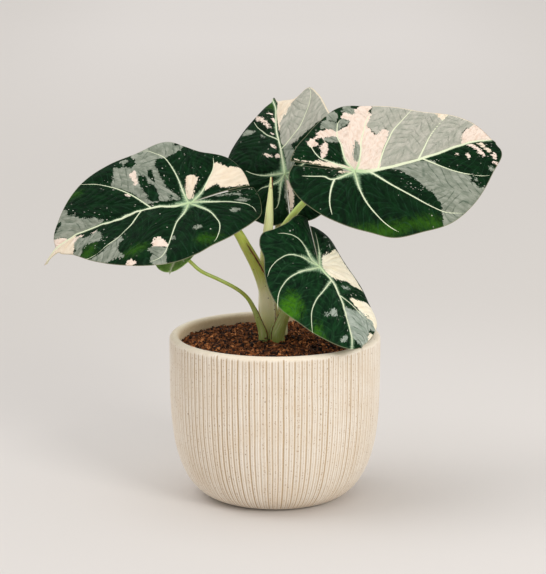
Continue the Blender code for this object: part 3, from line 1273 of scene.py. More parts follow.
    def _sheet(self, draft: Draft) -> None:
        """Add the blade's top and underside.

        Args:
            draft: The mesh to add to.
        """
        first, last = self.outline[0][0], self.outline[-1][0]
        count = int((last - first) / self.ray_step)
        angles = np.union1d(np.linspace(first, last, count), np.linspace(-4.0, 4.0, 41))
        count = len(angles)
        share = np.linspace(0.004, 1.0, self.rings) ** 0.92
        turn = np.radians(angles)[:, None]
        radius = self.reach(angles)[:, None] * share[None, :]
        flat = np.stack((radius * np.cos(turn), radius * np.sin(turn)), -1).reshape(-1, 2)
        edge = self._edge_distance(flat)
        middle, side = self._vein_fields(flat)
        rise = self.relief(flat, edge)
        half = self.half_thickness * np.sqrt(np.clip(edge / 0.8, 0.0, 1.0))
        place, normal = self.bent(flat), self.normals(flat)
        top = place + normal * (rise + half)[:, None]
        keel = 1.1 * np.exp(-((middle / 1.5) ** 2)) + 0.5 * np.exp(-((side / 1.0) ** 2))
        keel *= smooth_step(0.0, 5.0, edge)
        under = place + normal * (rise - half - keel)[:, None]
        number = np.arange(count * self.rings).reshape(count, self.rings)
        on_rim = np.zeros_like(number, bool)
        on_rim[:, -1] = on_rim[0] = on_rim[-1] = True
        below = number + number.size
        below[on_rim] = number[on_rim]
        faces = grid_faces(count, self.rings)
        over = faces[:, ::-1]
        back = below.ravel()[faces]
        rib = np.minimum(middle - 0.3, side * (1 + 0.012 * np.hypot(*flat.T)))
        marks = self._marks(flat, edge, rib)
        marks["count"], marks["clear"] = self.fine_veins(flat)
        for tone, outlines in self.patches.items():
            away = [distance_to_patch(flat, self._carried_out(outline)) for outline in outlines]
            marks[tone.value] = np.clip(np.min(away, axis=0), -FAR, FAR)
        both = {name: np.concatenate((values, values)) for name, values in marks.items()}
        draft.add(np.vstack((top, under)), [(over, 0), (back, 1)], **both)

    def _ridge(self, draft: Draft, line: np.ndarray, girth: float) -> None:
        """Add one vein as a low rounded ridge.

        Args:
            draft: The mesh to add to.
            line: Rows of the line's points.
            girth: Half width at the start.
        """
        away = np.concatenate(([0.0], np.cumsum(np.linalg.norm(np.diff(line, axis=0), axis=1))))
        steps = max(8, int(away[-1] / 0.7))
        spot = np.linspace(0, away[-1], steps)
        centre = np.stack([np.interp(spot, away, line[:, axis]) for axis in (0, 1)], -1)
        run = np.gradient(centre, axis=0)
        run /= np.linalg.norm(run, axis=1)[:, None]
        aside = np.stack((-run[:, 1], run[:, 0]), -1)
        share = spot / away[-1]
        half = girth * (1 - 0.58 * share) * np.sqrt(np.clip((1 - share) * 9, 0.02, 1.0))
        profile = ((-1.3, -0.35), (-0.75, 0.2), (0.0, 0.34), (0.75, 0.2), (1.3, -0.35))
        rows = []
        flats = []
        for over, lift in profile:
            flat = centre + aside * (half * over)[:, None]
            edge = self._edge_distance(flat)
            rise = self.relief(flat, edge) + self.half_thickness + lift * half / self.vein_girth
            rows.append(self.bent(flat) + self.normals(flat) * rise[:, None])
            flats.append(flat)
        points = np.stack(rows, 1).reshape(-1, 3)
        flat = np.stack(flats, 1).reshape(-1, 2)
        size = len(points)
        faces = grid_faces(steps, len(profile))[:, ::-1]
        draft.add(points, [(faces, 2)], **self._marks(flat, np.full(size, 9.0), np.zeros(size)))

    def build(
        self, top: bpy.types.Material, under: bpy.types.Material, rib: bpy.types.Material
    ) -> bpy.types.Object:
        """Make the blade.

        Args:
            top: Material of the upper face.
            under: Material of the underside.
            rib: Material of the veins.

        Returns:
            The blade's object.
        """
        draft = Draft(self.name)
        self._sheet(draft)
        for line, girth in self._vein_lines():
            self._ridge(draft, line, girth)
        item = draft.finish([top, under, rib])
        place_piece(item, self.slot, self.node)
        return item


def left_blade() -> Blade:
    """The large blade that leans out to the left.

    Returns:
        The blade.
    """
    return Blade(
        name="blade_left_velvet",
        node="blade_left",
        slot="blade",
        hub=(-55, -8, 93.4),
        turn=(187, -3, -29.5),
        droop=0.0074,
        fold=(10, 16.5),
        curl=(0.0031, 0.0015),
        tip=12,
        seed=3.0,
        vein_girth=0.46,
        midrib_girth=0.95,
        sag=0.03,
        outline=((-157, 44), (-140, 47), (-125, 48), (-105, 45), (-92, 49), (-80, 56), (-60, 57), (-45, 66),
                 (-30, 79), (-15, 90), (-6, 96), (3, 93), (12, 83), (25, 76), (42, 69), (60, 63), (75, 58),
                 (90, 51), (105, 45), (130, 42), (150, 43), (170, 47), (188, 48), (201, 46)),
        midrib=((0, 0), (12, 1), (23, -1), (35, -1), (50, 1), (60, -1), (70, -2), (81, -3.5), (97, -2),
                (105, 1)),
        veins=(
            ((0, 1), (-6.5, 5), (-12, 10), (-15, 17), (-16.5, 23), (-15.6, 30.5), (-13, 38), (-10.6, 42)),
            ((1, 0.5), (5, 10), (10, 18), (12.5, 25), (15, 32), (18, 40), (21, 46), (25, 50), (31.6, 52)),
            ((32.5, -0.5), (39, 10), (44, 15.5), (49, 20), (55, 23), (62.5, 27), (69, 29), (74, 28)),
            ((0, 0), (-16, -1), (-26.5, -2), (-38, -2), (-42, 1.5), (-43, 7)),
            ((-1, 0), (-8, -8.5), (-12, -16), (-15.6, -24), (-18, -31), (-18.4, -39.5)),
            ((1, 0), (3.5, -11), (5, -19.5), (7, -28.5), (10, -37), (13.5, -43), (20, -48.5), (25, -50)),
            ((25, -1), (32.5, -11), (40, -19.5), (48, -27), (57, -34), (68, -40)),
        ),
        patches={
            Tone.MOSS: (
                ((65, 19), (67, 27), (73, 26), (72, 20)),
                ((-15, 36), (-8, 42), (-1, 42), (-3, 37)),
                ((30, 38), (40, 43), (46, 41), (38, 36)),
                ((68, -32), (76, -38), (80, -32)),
            ),
            Tone.SILVER: (
                ((46.6, 42), (52.5, 40.5), (62.5, 38), (67, 34), (70, 30.5), (60, 29.6), (57, 26),
                 (53.5, 22.4), (49, 19.6), (46, 25), (48, 28.7), (50, 32.4), (49, 36)),
                ((70, 30), (75, 26), (79, 20.5), (80, 16.5), (75, 15), (73.5, 18), (73, 24)),
                ((59, 16.5), (65, 17.4), (72.5, 16.5), (79, 15), (80, 9.6), (80, 3.3), (78, -1), (75, 2.4),
                 (73.5, 6), (68, 8.7), (64, 7), (60.7, 9.6)),
                ((58, -2.4), (75, -3), (97, -2.2), (97, -9.5), (94.4, -14), (90, -18), (85, -24),
                 (81.6, -27.6), (80, -24), (80, -19.5), (75, -15.8), (70.7, -11), (64, -7.6)),
                ((6, -4), (12, -3.5), (24, -4.5), (28, -6), (31.6, -11), (35, -16), (42.5, -23),
                 (48, -27.6), (46, -32), (44.4, -39.5), (40, -39.5), (30, -36.7), (30, -48.5),
                 (22.5, -50.4), (18, -52), (16, -55), (11.6, -56.7), (6, -55.8), (3, -52), (5, -49.5),
                 (-1, -47.6), (2.5, -44.5), (10.7, -41), (16, -40.4), (18, -36.7), (18, -30.4), (15, -19.5),
                 (13.5, -15), (10.7, -9.5)),
            ),
            Tone.CREAM: (
                ((80, 18.7), (82.5, 17.8), (88, 11.5), (94, 6), (100, 1), (99, -2.4), (88, -3),
                 (82.5, -3.2), (79, -2), (79, 6)),
                ((94, -4), (104, -4.5), (118, -5), (118, 6), (104, 5.5), (94, 5)),
                ((-41, -18.5), (-34, -16), (-28, -14), (-21, -12.6), (-18, -15), (-11, -10.4), (-12, -15.8),
                 (-14.7, -23), (-17, -27.6), (-18.4, -33), (-20, -35), (-23, -32), (-27.5, -30.4),
                 (-37.5, -30), (-38, -25)),
                ((-2.5, -5), (0, -3), (1.6, -6), (1.6, -11), (0.3, -21), (-5.6, -22), (-6.5, -17.6),
                 (-4, -13)),
            ),
            Tone.BLUSH: (
                ((19, 41.5), (28, 41), (26, 34), (22.5, 34), (18.5, 38)),
                ((39, 49.5), (43.5, 48), (44.5, 45.5)),
                ((73, 3), (77, 5), (80, 7), (80, 3), (76, 1)),
                ((63, 5.5), (65, 8), (66, 6)),
                ((87, -3.2), (99, -1.6), (99, -7.6), (93.5, -9.5), (89, -6.7)),
                ((30.7, -22), (33, -22), (34, -27), (35.3, -29.5), (33.5, -32.6), (31, -31)),
                ((37, -14), (39.5, -15.5), (41, -18), (38.6, -17.4)),
            ),
            Tone.DARK: (
                ((87, -14.5), (92, -12.5), (94.5, -14.5), (91, -19), (87, -19)),
                ((19.4, -4.5), (24.4, -6), (27, -11), (29, -17.6), (30.3, -24), (29, -28.5), (26, -26),
                 (24.4, -21), (20.7, -16.7), (19.4, -12)),
                ((20, -21), (22.5, -22), (24, -26), (23.5, -30.4), (20.7, -30)),
                ((11.6, -4), (13, -7), (10.7, -7)),
            ),
            Tone.PEWTER: (
                ((19, 54), (25, 55), (31, 52), (29, 46), (30, 42), (20, 41.5), (20.5, 48)),
                ((12.5, 37), (16, 36), (14.5, 33)),
                ((35.3, -42), (38, -40.4), (39.4, -45), (35.3, -45)),
                ((-49, -12), (-46, -12), (-41, -17), (-47, -18)),
                ((-40, -5), (-36, -6), (-30, -4), (-35, -3.4)),
                ((-38, -8), (-28, -7), (-16, -5), (-28, -8.4)),
                ((-32, 8), (-28, 6.5), (-25, 11), (-29, 11.5)),
                ((-4.7, 28), (-2, 27), (1, 30), (-2, 30.5)),
            ),
        },
    )


def right_blade() -> Blade:
    """The large blade that reaches up to the right.

    Returns:
        The blade.
    """
    return Blade(
        name="blade_right_velvet",
        node="blade_right",
        slot="blade",
        hub=(52.3, 0, 112.8),
        turn=(20, 8.7, 42),
        droop=0.0004,
        fold=(5, 1),
        curl=(0.0022, 0.0034),
        tip=1,
        midrib_girth=1.3,
        vein_girth=0.6,
        seed=23.0,
        outline=((-202, 41), (-188, 45), (-170, 45), (-150, 43), (-125, 42), (-100, 45), (-82, 52),
                 (-62, 59), (-45, 71), (-30, 81), (-15, 92), (-6, 102), (0, 100), (10, 95), (18, 87),
                 (30, 72), (45, 64), (62, 58), (78, 56), (98, 47), (118, 42), (136, 42), (154, 43)),
        midrib=((0, 0), (14, -2.3), (27, -2.3), (41, -1.4), (50, -0.5), (60, 0.5), (70, 2.3), (80, 3.6),
                (90, 4), (99, 2)),
        veins=(
            ((-0.5, 0), (-2.7, 9), (-2.3, 16), (-1, 23.6), (-1, 30), (1, 35.5), (3.6, 41), (6.4, 43.6)),
            ((0, 0), (4.5, 5.5), (9, 13.6), (12.7, 22), (16.4, 28), (20, 33.6), (22.7, 38), (25.5, 41),
             (28, 46)),
            ((15, -2), (22, 8), (27, 14.5), (32, 20), (37, 25.5), (44.5, 31), (51, 35.5), (57, 39.5)),
            ((45, -0.5), (53, 8), (59, 14.5), (65.5, 20), (73, 25.5), (79, 29)),
            ((-1, 0), (-13.6, 12), (-18, 15.5), (-20, 20), (-21, 25.5), (-22, 30)),
            ((0, 0), (-16, -2), (-22, 2), (-32, 5), (-36, 6)),
            ((-15.5, -2), (-20, -8), (-23.6, -14.5), (-26, -21), (-27, -28)),
            ((-1, 0), (-1.4, -5.5), (-2.3, -12.7), (-1.8, -22), (0, -30), (3.6, -38), (8, -44.5),
             (12.7, -49)),
            ((9, -1.5), (16.4, -12), (23.6, -20), (32, -29), (40, -37), (48, -42.7), (59, -46)),
            ((47, -0.8), (56, -9), (63.6, -14.5), (72, -19.5), (80, -22.7), (87, -24.5)),
        ),
        patches={
            Tone.MOSS: (
                ((-20, -40), (0, -48), (20, -48), (38, -50), (38, -44), (16, -43)),
            ),
            Tone.SILVER: (
                ((24.5, -2.7), (51, -3.6), (55.5, -9), (62, -13.6), (72.7, -21), (72.7, -27), (75.5, -31),
                 (81, -32), (77, -35.5), (70, -40), (61, -44.5), (54.5, -49), (50, -51), (42.7, -52),
                 (43.6, -47), (46.4, -38), (44.5, -32), (43.6, -27), (40, -24.5), (37, -19), (32.7, -12.7),
                 (29, -8)),
            ),
            Tone.MIST: (
                ((28, 42.7), (32, 48), (37, 48), (50, 43.6), (57, 39.5), (67, 33.6), (73.6, 26), (81, 29),
                 (89, 23.6), (92.7, 16.4), (84.5, 13.6), (81, 11), (78, 3.4), (70, 2.2), (60, 0.5),
                 (45, -1), (27, -2.4), (16, -2.4), (22, 8), (27, 15.5), (33, 26), (30, 27), (26, 23.6),
                 (22.7, 28), (22.7, 35.5), (25.5, 38)),
            ),
            Tone.CREAM: (
                ((67, 33.6), (71, 33), (80, 30), (73.6, 26), (71, 29.5)),
                ((18, 52.5), (32, 53), (50, 46), (66, 37), (80, 31), (66, 35), (50, 44.6), (32, 50.4)),
                ((87, 1.8), (92, 1.8), (92, -2.7), (94.5, -8), (92, -7.3), (90, -3.6), (89, 0)),
                ((-37, 21), (-33, 17), (-28, 15.5), (-18, 13), (-8, 8), (0, 2), (-8, 5), (-20, 10)),
                ((-13, 2.5), (-7, 0.6), (-2, -0.5), (-7, 1.8)),
            ),
            Tone.BLUSH: (
                ((-0.5, 1), (-2.3, 12.7), (-0.5, 23.6), (-0.5, 34.5), (6.4, 35.5), (11, 39), (8, 42.7),
                 (8, 46.4), (13.6, 48), (21, 50), (30, 51), (32, 48), (28, 45.5), (28, 42.7), (25.5, 38),
                 (22.7, 35.5), (22, 29), (24.5, 23.6), (30, 27), (33, 26), (32, 22), (27, 15.5), (22, 9),
                 (16, -2.4), (8, -1.4)),
                ((-22, 31), (-14.5, 33), (-13.6, 36), (-3.6, 37), (-0.5, 34.5), (-0.5, 30), (-10, 30),
                 (-10, 23.6), (-13.6, 17), (-17.7, 15.5), (-16.4, 20), (-16.4, 25.5), (-21, 25.5)),
                ((78, 3.4), (80, 9), (86.4, 13.6), (92, 16.4), (95.5, 10), (98, 3.6), (101, 1), (90, 4),
                 (80, 3.6)),
                ((81, 2.3), (85.5, 1.8), (87, -2.7), (89, -8), (88, -10), (86, -7.3), (84.5, -3.6),
                 (82, 0)),
                ((93, -9.5), (95.4, -9), (96.4, -12.6), (94, -14)),
                ((91.6, -16), (94, -15.4), (94.8, -18.4), (92.4, -19)),
                ((76.6, -6), (78.6, -5.2), (79.2, -8.2), (77.2, -8.8)),
                ((68.6, -4.2), (71.4, -3.6), (71, -5.6)),
            ),
            Tone.DARK: (
                ((-17, 30), (-13, 31), (-11, 28), (-13, 25.5), (-16, 25)),
                ((-10, 25), (-4.5, 26), (-2.3, 23.6), (-1.8, 16.4), (-4, 7.3), (-11, 10), (-15.5, 14.5),
                 (-11, 18)),
            ),
            Tone.PEWTER: (
                ((1.8, 9), (3.6, 13.6), (6.4, 19), (10, 23), (10.5, 19), (9, 14.5), (5, 7.4)),
                ((-11, 28), (-10, 30), (-2, 30), (-1, 25.5), (-8, 26)),
                ((-10, 38), (-8, 42), (-4.5, 44.5), (3.6, 41.8), (4.5, 37), (1, 35), (-4.5, 37)),
                ((4.5, 42.7), (8, 43.6), (11, 40), (9, 37), (5.5, 36)),
                ((-2.7, 45.5), (1, 49), (5.5, 50), (6.4, 47), (3.6, 43.6), (1, 43.6)),
                ((10, 50), (15.5, 52.7), (18, 49), (17, 45.5), (13.6, 45.5), (12, 48)),
                ((79.5, 28.6), (84.5, 28), (89, 25.5), (91, 20), (86.4, 22), (80, 26.4)),
                ((74.5, -25), (76.5, -24.6), (77, -26.6), (75, -26.8)),
                ((87.6, -19), (90.6, -18.4), (90, -22.4), (88, -22.4)),
            ),
        },
    )


def back_blade() -> Blade:
    """The upright blade behind, seen between the two large ones.

    Returns:
        The blade.
    """
    return Blade(
        name="blade_back_velvet",
        node="blade_back",
        slot="blade",
        hub=(6.7, 45, 103.5),
        turn=(100, 51, -9.6),
        droop=0.0086,
        fold=(-25, 26),
        curl=(0.0024, -0.002),
        tip=8,
        seed=41.0,
        outline=((-179.6, 32), (-160, 38), (-140, 41), (-110, 43), (-80, 44), (-60, 47), (-45, 52),
                 (-31, 63), (-21, 73), (-13, 67), (0, 75), (14, 67), (28, 61), (43, 56), (60, 50), (80, 44),
                 (110, 39), (140, 38), (160, 37), (179.2, 32)),
        midrib=((0, 0), (9.6, 0.3), (21.5, 0.7), (38, 2), (50.5, 1.2), (65, 0), (78, 1.2), (82, 1.4)),
        veins=(
            ((0, 0), (2.4, 9), (5, 17), (9.6, 23.5), (15, 28.5)),
            ((29, 1), (38, 9), (45, 12.5), (52.4, 15.7), (61.5, 17.5)),
            ((0, 0), (-5, 3.5), (-17, 6.6), (-22, 8.5), (-23.5, 11)),
            ((0, 0), (-4, 4.4), (-5, 11.6), (-5, 18), (-6.7, 21.6)),
            ((21, 0.5), (28, -8.4), (33, -14.7), (41.5, -20), (50.5, -24.7), (59.6, -27.5), (67, -27)),
            ((0, 0), (2, -9), (5, -18), (10, -26), (17, -33), (26, -38)),
            ((0, 0), (-10, -6), (-18, -13), (-21, -22)),
        ),
        patches={
            Tone.MOSS: (
                ((65, 1.6), (67, 4.4), (71.5, 5.3), (77, 3.5), (77, 0.7), (67, 0.3)),
            ),
            Tone.MIST: (
                ((24, -1), (37, -0.5), (50, -4), (58, -12), (62, -16), (66, -19), (70, -25), (67, -30),
                 (60, -33), (45, -37), (33, -43), (24, -42), (27, -28), (25, -20), (21, -10)),
            ),
            Tone.CREAM: (
                ((37, 0), (50.5, 0), (61.5, -0.6), (69.6, -2), (79, -1.5), (73, -6.5), (72.4, -10),
                 (68, -14), (65, -19), (62.4, -16.5), (58, -12.5), (51.5, -8.4), (49.6, -4.7), (45, -2)),
            ),
            Tone.BLUSH: (
                ((15.5, 7), (18, 11.6), (20.5, 13.5), (19.6, 10), (17, 8)),
                ((13.3, 2), (14.6, 4.8), (16.5, 4.4), (16, 2)),
                ((22, 4), (24, 6.6), (26.5, 7), (23, 3.5)),
                ((42.4, 5), (44, 8), (49, 9.4), (54, 11.6), (59.6, 14.4), (63, 15), (60.5, 12), (54, 9),
                 (48, 7)),
                ((47, 2), (50.5, 4.4), (53, 2.5)),
                ((57, 2.5), (59, 5.7), (61.5, 6.6), (59.6, 3.5)),
                ((35, 3.5), (36, 5.6), (37.6, 7), (36.6, 4.6)),
                ((-29, -1), (-15, -0.6), (-5, -0.6), (-8, -3.4), (-20, -4.6)),
            ),
            Tone.PEWTER: (
                ((35, 11), (39, 12), (42, 14), (38, 13)),
                ((46, 22.5), (50.5, 26.6), (54, 25), (53, 21.6), (48, 18), (46, 20)),
                ((3, -2), (12, -2), (22, -1.5), (20, -8), (10, -10), (3, -7)),
                ((70, -25), (66, -27), (52, -33), (40, -39), (44, -37), (60, -31), (67, -22)),
                ((-29, 0.4), (-15, 0.2), (-2, 0.2), (-15, 1.8)),
            ),
        },
    )


def front_blade() -> Blade:
    """The blade that hangs forward over the rim of the pot.

    Returns:
        The blade.
    """
    return Blade(
        name="blade_front_velvet",
        node="blade_front",
        slot="blade",
        hub=(28.3, -28, 55.6),
        turn=(-52.4, -45.2, -5.2),
        droop=0.0007,
        fold=(-1.7, -11.5),
        curl=(0.0055, 0.0065),
        tip=1,
        seed=59.0,
        outline=((-200, 42), (-189, 42), (-172, 37), (-156, 38), (-145, 42), (-134, 40), (-120, 35),
                 (-100, 35), (-80, 37), (-60, 41), (-42, 45), (-25, 53), (-7, 63), (4, 61), (16, 57),
                 (35, 52), (48, 43), (65, 37), (88, 30), (110, 30), (132, 36), (150, 36), (159.4, 35)),
        midrib=((0, 0), (5, 2.7), (10.4, 5), (15.8, 5.5), (23, 5), (31, 3.6), (40, 1), (48.5, -1),
                (55, -2.7), (62, -7)),
        veins=(
            ((0, 0), (-6, -2.7), (-15, -2.3), (-22, -3), (-27, -6.4), (-29.6, -11), (-31, -15.5)),
            ((0, 0), (-4, -4), (-9.6, -8), (-13.3, -13.6), (-14, -18), (-12.4, -24.5), (-8.7, -30),
             (-4, -33.6)),
            ((1, 0), (0.8, -6.4), (0.4, -14.5), (2, -22.7), (6, -29), (10.4, -32.7), (16, -35.5),
             (20.4, -37)),
            ((11, 5), (17.6, -5.5), (22, -12.7), (28.5, -19), (36, -22.7), (44, -25.5)),
            ((0, 0.5), (-9.6, 6.4), (-18.7, 11), (-28, 14.5)),
            ((22, 5), (30, 12), (38, 17), (46, 21)),
        ),
        patches={
            Tone.MOSS: (
                ((-4.6, 13), (-2.8, 11.8), (-1.5, 7.3), (-2.4, 6.4), (-4, 10)),
                ((13, -26), (20, -36), (31, -33), (26, -25)),
                ((40, -21), (43, -24), (49, -21)),
            ),
            Tone.SILVER: (
                ((35, 16.4), (39.5, 20), (45, 23.6), (49.5, 21), (50.4, 16.4), (54, 11), (57.6, 7.3),
                 (59.5, 1.8), (58.5, -1), (52, -1.8), (41, 1), (32, 3.6), (35.4, 8), (35.4, 12.7)),
            ),
            Tone.CREAM: (
                ((-12.4, 25.5), (-2.4, 26.4), (8.5, 30), (19.5, 30), (19.5, 25.5), (16.7, 23.6), (15.8, 20),
                 (13, 18), (12, 12.7), (10.4, 8), (5.8, 5), (0.4, 2.7), (-6, 6.4), (-8.7, 10), (-10, 15.5),
                 (-12.4, 21.8)),
                ((29.5, 30), (40, 30), (45, 27), (50, 21.8), (54, 14.5), (60, 6.4), (53, 13), (50, 19),
                 (45, 22.5), (40, 20.8), (37, 17.5), (34, 16), (30.5, 14), (26, 13), (27.6, 19),
                 (29.5, 24.5)),
            ),
            Tone.PEWTER: (
                ((16, 9.5), (18, 10.5), (19.5, 14), (19, 16), (17, 13.5)),
                ((32, -6), (36, -6), (38.5, -7), (38, -9.5), (34, -9.5)),
                ((34.5, -11), (36.4, -12), (36, -14.5), (34.6, -13)),
                ((52.6, -6.4), (55.8, -6.8), (56.7, -11), (54, -11)),
                ((-24, 20), (-22, 20.6), (-22.4, 19)),
                ((-16, 18.6), (-14, 19.2), (-14.6, 17.6)),
            ),
        },
    )


def small_blade() -> Blade:
    """The small young blade, mostly hidden under the left one.

    Returns:
        The blade.
    """
    return Blade(
        name="blade_small_young",
        node="blade_small",
        slot="young_blade",
        hub=(-61, -18, 64.5),
        turn=(246, -32, 14),
        droop=0.008,
        fold=(12, 12),
        curl=(0.004, 0.004),
        tip=2,
        seed=77.0,
        outline=((-174, 9), (-150, 13), (-110, 15), (-75, 17), (-45, 19), (-18, 20), (0, 20), (18, 20),
                 (45, 19), (75, 17), (110, 15), (150, 13), (174, 9)),
        midrib=((0, 0), (7, 0.4), (14, -0.3), (21, 0)),
        veins=(
            ((0, 0), (2, 6), (5, 12), (9, 15)),
            ((6, 0), (10, 6), (14, 10)),
            ((0, 0), (2, -6), (5, -12), (9, -15)),
            ((6, 0), (10, -6), (14, -10)),
            ((0, 0), (-5, 5), (-7, 9)),
            ((0, 0), (-5, -5), (-7, -9)),
        ),
        vein_girth=0.3,
        midrib_girth=0.6,
        rings=36,
        ray_step=2.4,
        quilt=0.35,
    )


# The petioles.


Station = tuple[float, float, float, float]


@dataclass(frozen=True)
class SheathEdge:
    """A dried margin that runs down a stalk, at angles from the right round to the front."""

    high: float
    low: float
    high_turn: float
    low_turn: float
    girth: float = 0.42
    seed: float = 0.0


@dataclass
class Stalk:
    """A petiole, from the corm to the underside of its blade."""

    name: str
    node: str
    finish: StalkFinish
    points: tuple[Station, ...]
    blade: Blade | None = None
    edges: tuple[SheathEdge, ...] = ()
    foot_level: float = 98.3
    soil_exit: float = 110.0
    approach: float = 6.0
    seat: float = 0.3
    samples: int = 9
    sides: int = 28
    seed: float = 0.0

    def line(self) -> np.ndarray:
        """Centre line and radius: straight up through the soil, then curving to the blade.

        Returns:
            Rows of three coordinates and a radius.
        """
        foot_x, foot_y, _, foot_radius = self.points[0]
        levels = (self.foot_level, SOIL_LINE, self.soil_exit)
        rows = [(foot_x, foot_y, level, foot_radius) for level in levels]
        rows += [(x, y, SOIL_LINE + height, radius) for x, y, height, radius in self.points[1:]]
        if self.blade is None:
            return smooth_line(np.array(rows), self.samples)
        heading, rise, roll = (math.radians(angle) for angle in self.blade.turn)
        normal = Euler((roll, -rise, heading)).to_matrix() @ Vector((0, 0, 1))
        hub = Vector(self.blade.hub) + Vector((0, 0, SOIL_LINE))
        radius = 0.9 * self.points[-1][3]
        near, end = (hub - normal * depth for depth in (self.approach, self.seat))
        curve = smooth_line(np.array(rows + [(*near, radius)]), self.samples)
        return np.vstack((curve, (*((near + end) / 2), radius * 1.05), (*end, radius * 1.35)))

    @staticmethod
    def frames(centre: np.ndarray) -> tuple[np.ndarray, np.ndarray]:
        """Directions to the right and to the front, square to a line, at each of its points.

        Args:
            centre: Rows of the line's points.

        Returns:
            Rows to the right, and rows to the front.
        """
        run = np.gradient(centre, axis=0)
        run /= np.linalg.norm(run, axis=1)[:, None]
        right = np.cross(np.array((0.0, 1.0, 0.0)), run)
        right /= np.linalg.norm(right, axis=1)[:, None]
        return right, np.cross(right, run)

    def _tube(self, draft: Draft, line: np.ndarray, girth: np.ndarray, slot: int) -> None:
        """Add a round tube with closed ends.

        Args:
            draft: The mesh to add to.
            line: Centre points.
            girth: Radius for each point and side.
            slot: Material number.
        """
        sides = girth.shape[1]
        right, front = self.frames(line)
        turn = np.arange(sides) * 2 * math.pi / sides
        around = right[:, None] * np.cos(turn)[None, :, None] + front[:, None] * np.sin(turn)[None, :, None]
        points = (line[:, None] + around * girth[..., None]).reshape(-1, 3)
        away = np.concatenate(([0.0], np.cumsum(np.linalg.norm(np.diff(line, axis=0), axis=1))))
        cosine, sine, height = np.broadcast_arrays(
            np.cos(turn) * girth.mean(), np.sin(turn) * girth.mean() + self.seed, away[:, None]
        )
        skin = np.stack((cosine, height, sine), -1).reshape(-1, 3)
        size = len(points)
        here, there = np.arange(sides), np.roll(np.arange(sides), -1)
        faces = [
            grid_faces(len(line), sides, closed=True)[:, ::-1],
            np.stack((here, there, np.full(sides, size)), -1),
            np.stack((there + size - sides, here + size - sides, np.full(sides, size + 1)), -1),
        ]
        points = np.vstack((points, line[0], line[-1]))
        skin = np.vstack((skin, skin[0], skin[-1]))
        rise = points[:, 2] - SOIL_LINE
        draft.add(points, [(corners, slot) for corners in faces], rise=rise, skin=skin)

    def girth(self, line: np.ndarray) -> np.ndarray:
        """Radius for each point and side, lightly fluted.

        Args:
            line: Rows of three coordinates and a radius.

        Returns:
            Radii, a row for each point.
        """
        turn = np.arange(self.sides) * 2 * math.pi / self.sides
        places = np.broadcast_arrays(np.cos(turn) * 1.6, np.sin(turn) * 1.6, line[:, 2:3] * 0.02 + self.seed)
        flutes = noise_at(np.stack(places, -1).reshape(-1, 3)).reshape(len(line), self.sides)
        return line[:, 3:4] * (1 + 0.06 * flutes)

    def _edge_line(self, line: np.ndarray, edge: SheathEdge) -> tuple[np.ndarray, np.ndarray]:
        """Centre and girth of a dried margin on the stalk's skin.

        Args:
            line: The stalk's line.
            edge: The margin.

        Returns:
            Centre points, and a row of radii for each.
        """
        level = line[:, 2] - SOIL_LINE
        top = int(np.argmax(level))
        height = np.linspace(edge.low, edge.high, 40)
        rising = line[: top + 1].T
        centre = np.stack([np.interp(height, level[: top + 1], values) for values in rising], -1)
        right, front = self.frames(centre[:, :3])
        share = np.linspace(0.0, 1.0, len(height))
        turn = np.radians(edge.low_turn + (edge.high_turn - edge.low_turn) * share)
        wave = noise_at(np.stack((height * 0.5, height * 0.0 + edge.seed, height * 0.0), -1))
        turn = turn + 0.1 * wave
        out = right * np.cos(turn)[:, None] + front * np.sin(turn)[:, None]
        girth = edge.girth * np.sqrt(np.clip(np.minimum(share, 1 - share) * 8, 0.05, 1.0)) * (1 + 0.45 * wave)
        return centre[:, :3] + out * (centre[:, 3:4] * 0.99), np.repeat(girth[:, None], 8, 1)

    def build(self, dry: bpy.types.Material) -> bpy.types.Object:
        """Make the stalk with its dried margins.

        Args:
            dry: Material of the margins.

        Returns:
            The stalk's object.
        """
        line = self.line()
        draft = Draft(self.name)
        self._tube(draft, line[:, :3], self.girth(line), 0)
        for edge in self.edges:
            centre, girth = self._edge_line(line, edge)
            self._tube(draft, centre, girth, 1)
        item = draft.finish([self.finish.build(), dry])
        place_piece(item, "petiole" if self.blade else "rolled_leaf", self.node)
        return item


@dataclass
class RolledLeaf(Stalk):
    """The spear of the next leaf, still rolled: a stalk whose skin overlaps along one seam."""

    seam: float = 20.0
    lap: float = 0.2

    def girth(self, line: np.ndarray) -> np.ndarray:
        """Radius for each point and side, with a step where the roll overlaps.

        Args:
            line: Rows of three coordinates and a radius.

        Returns:
            Radii, a row for each point.
        """
        turn = np.arange(self.sides) * 360 / self.sides
        climb = line[:, 2:3] - SOIL_LINE
        around = (turn[None, :] - self.seam - climb * 0.5) % 360 / 360
        rolled = smooth_step(20.0, 50.0, climb)
        return line[:, 3:4] * (1 + self.lap * rolled * (around - 0.5))


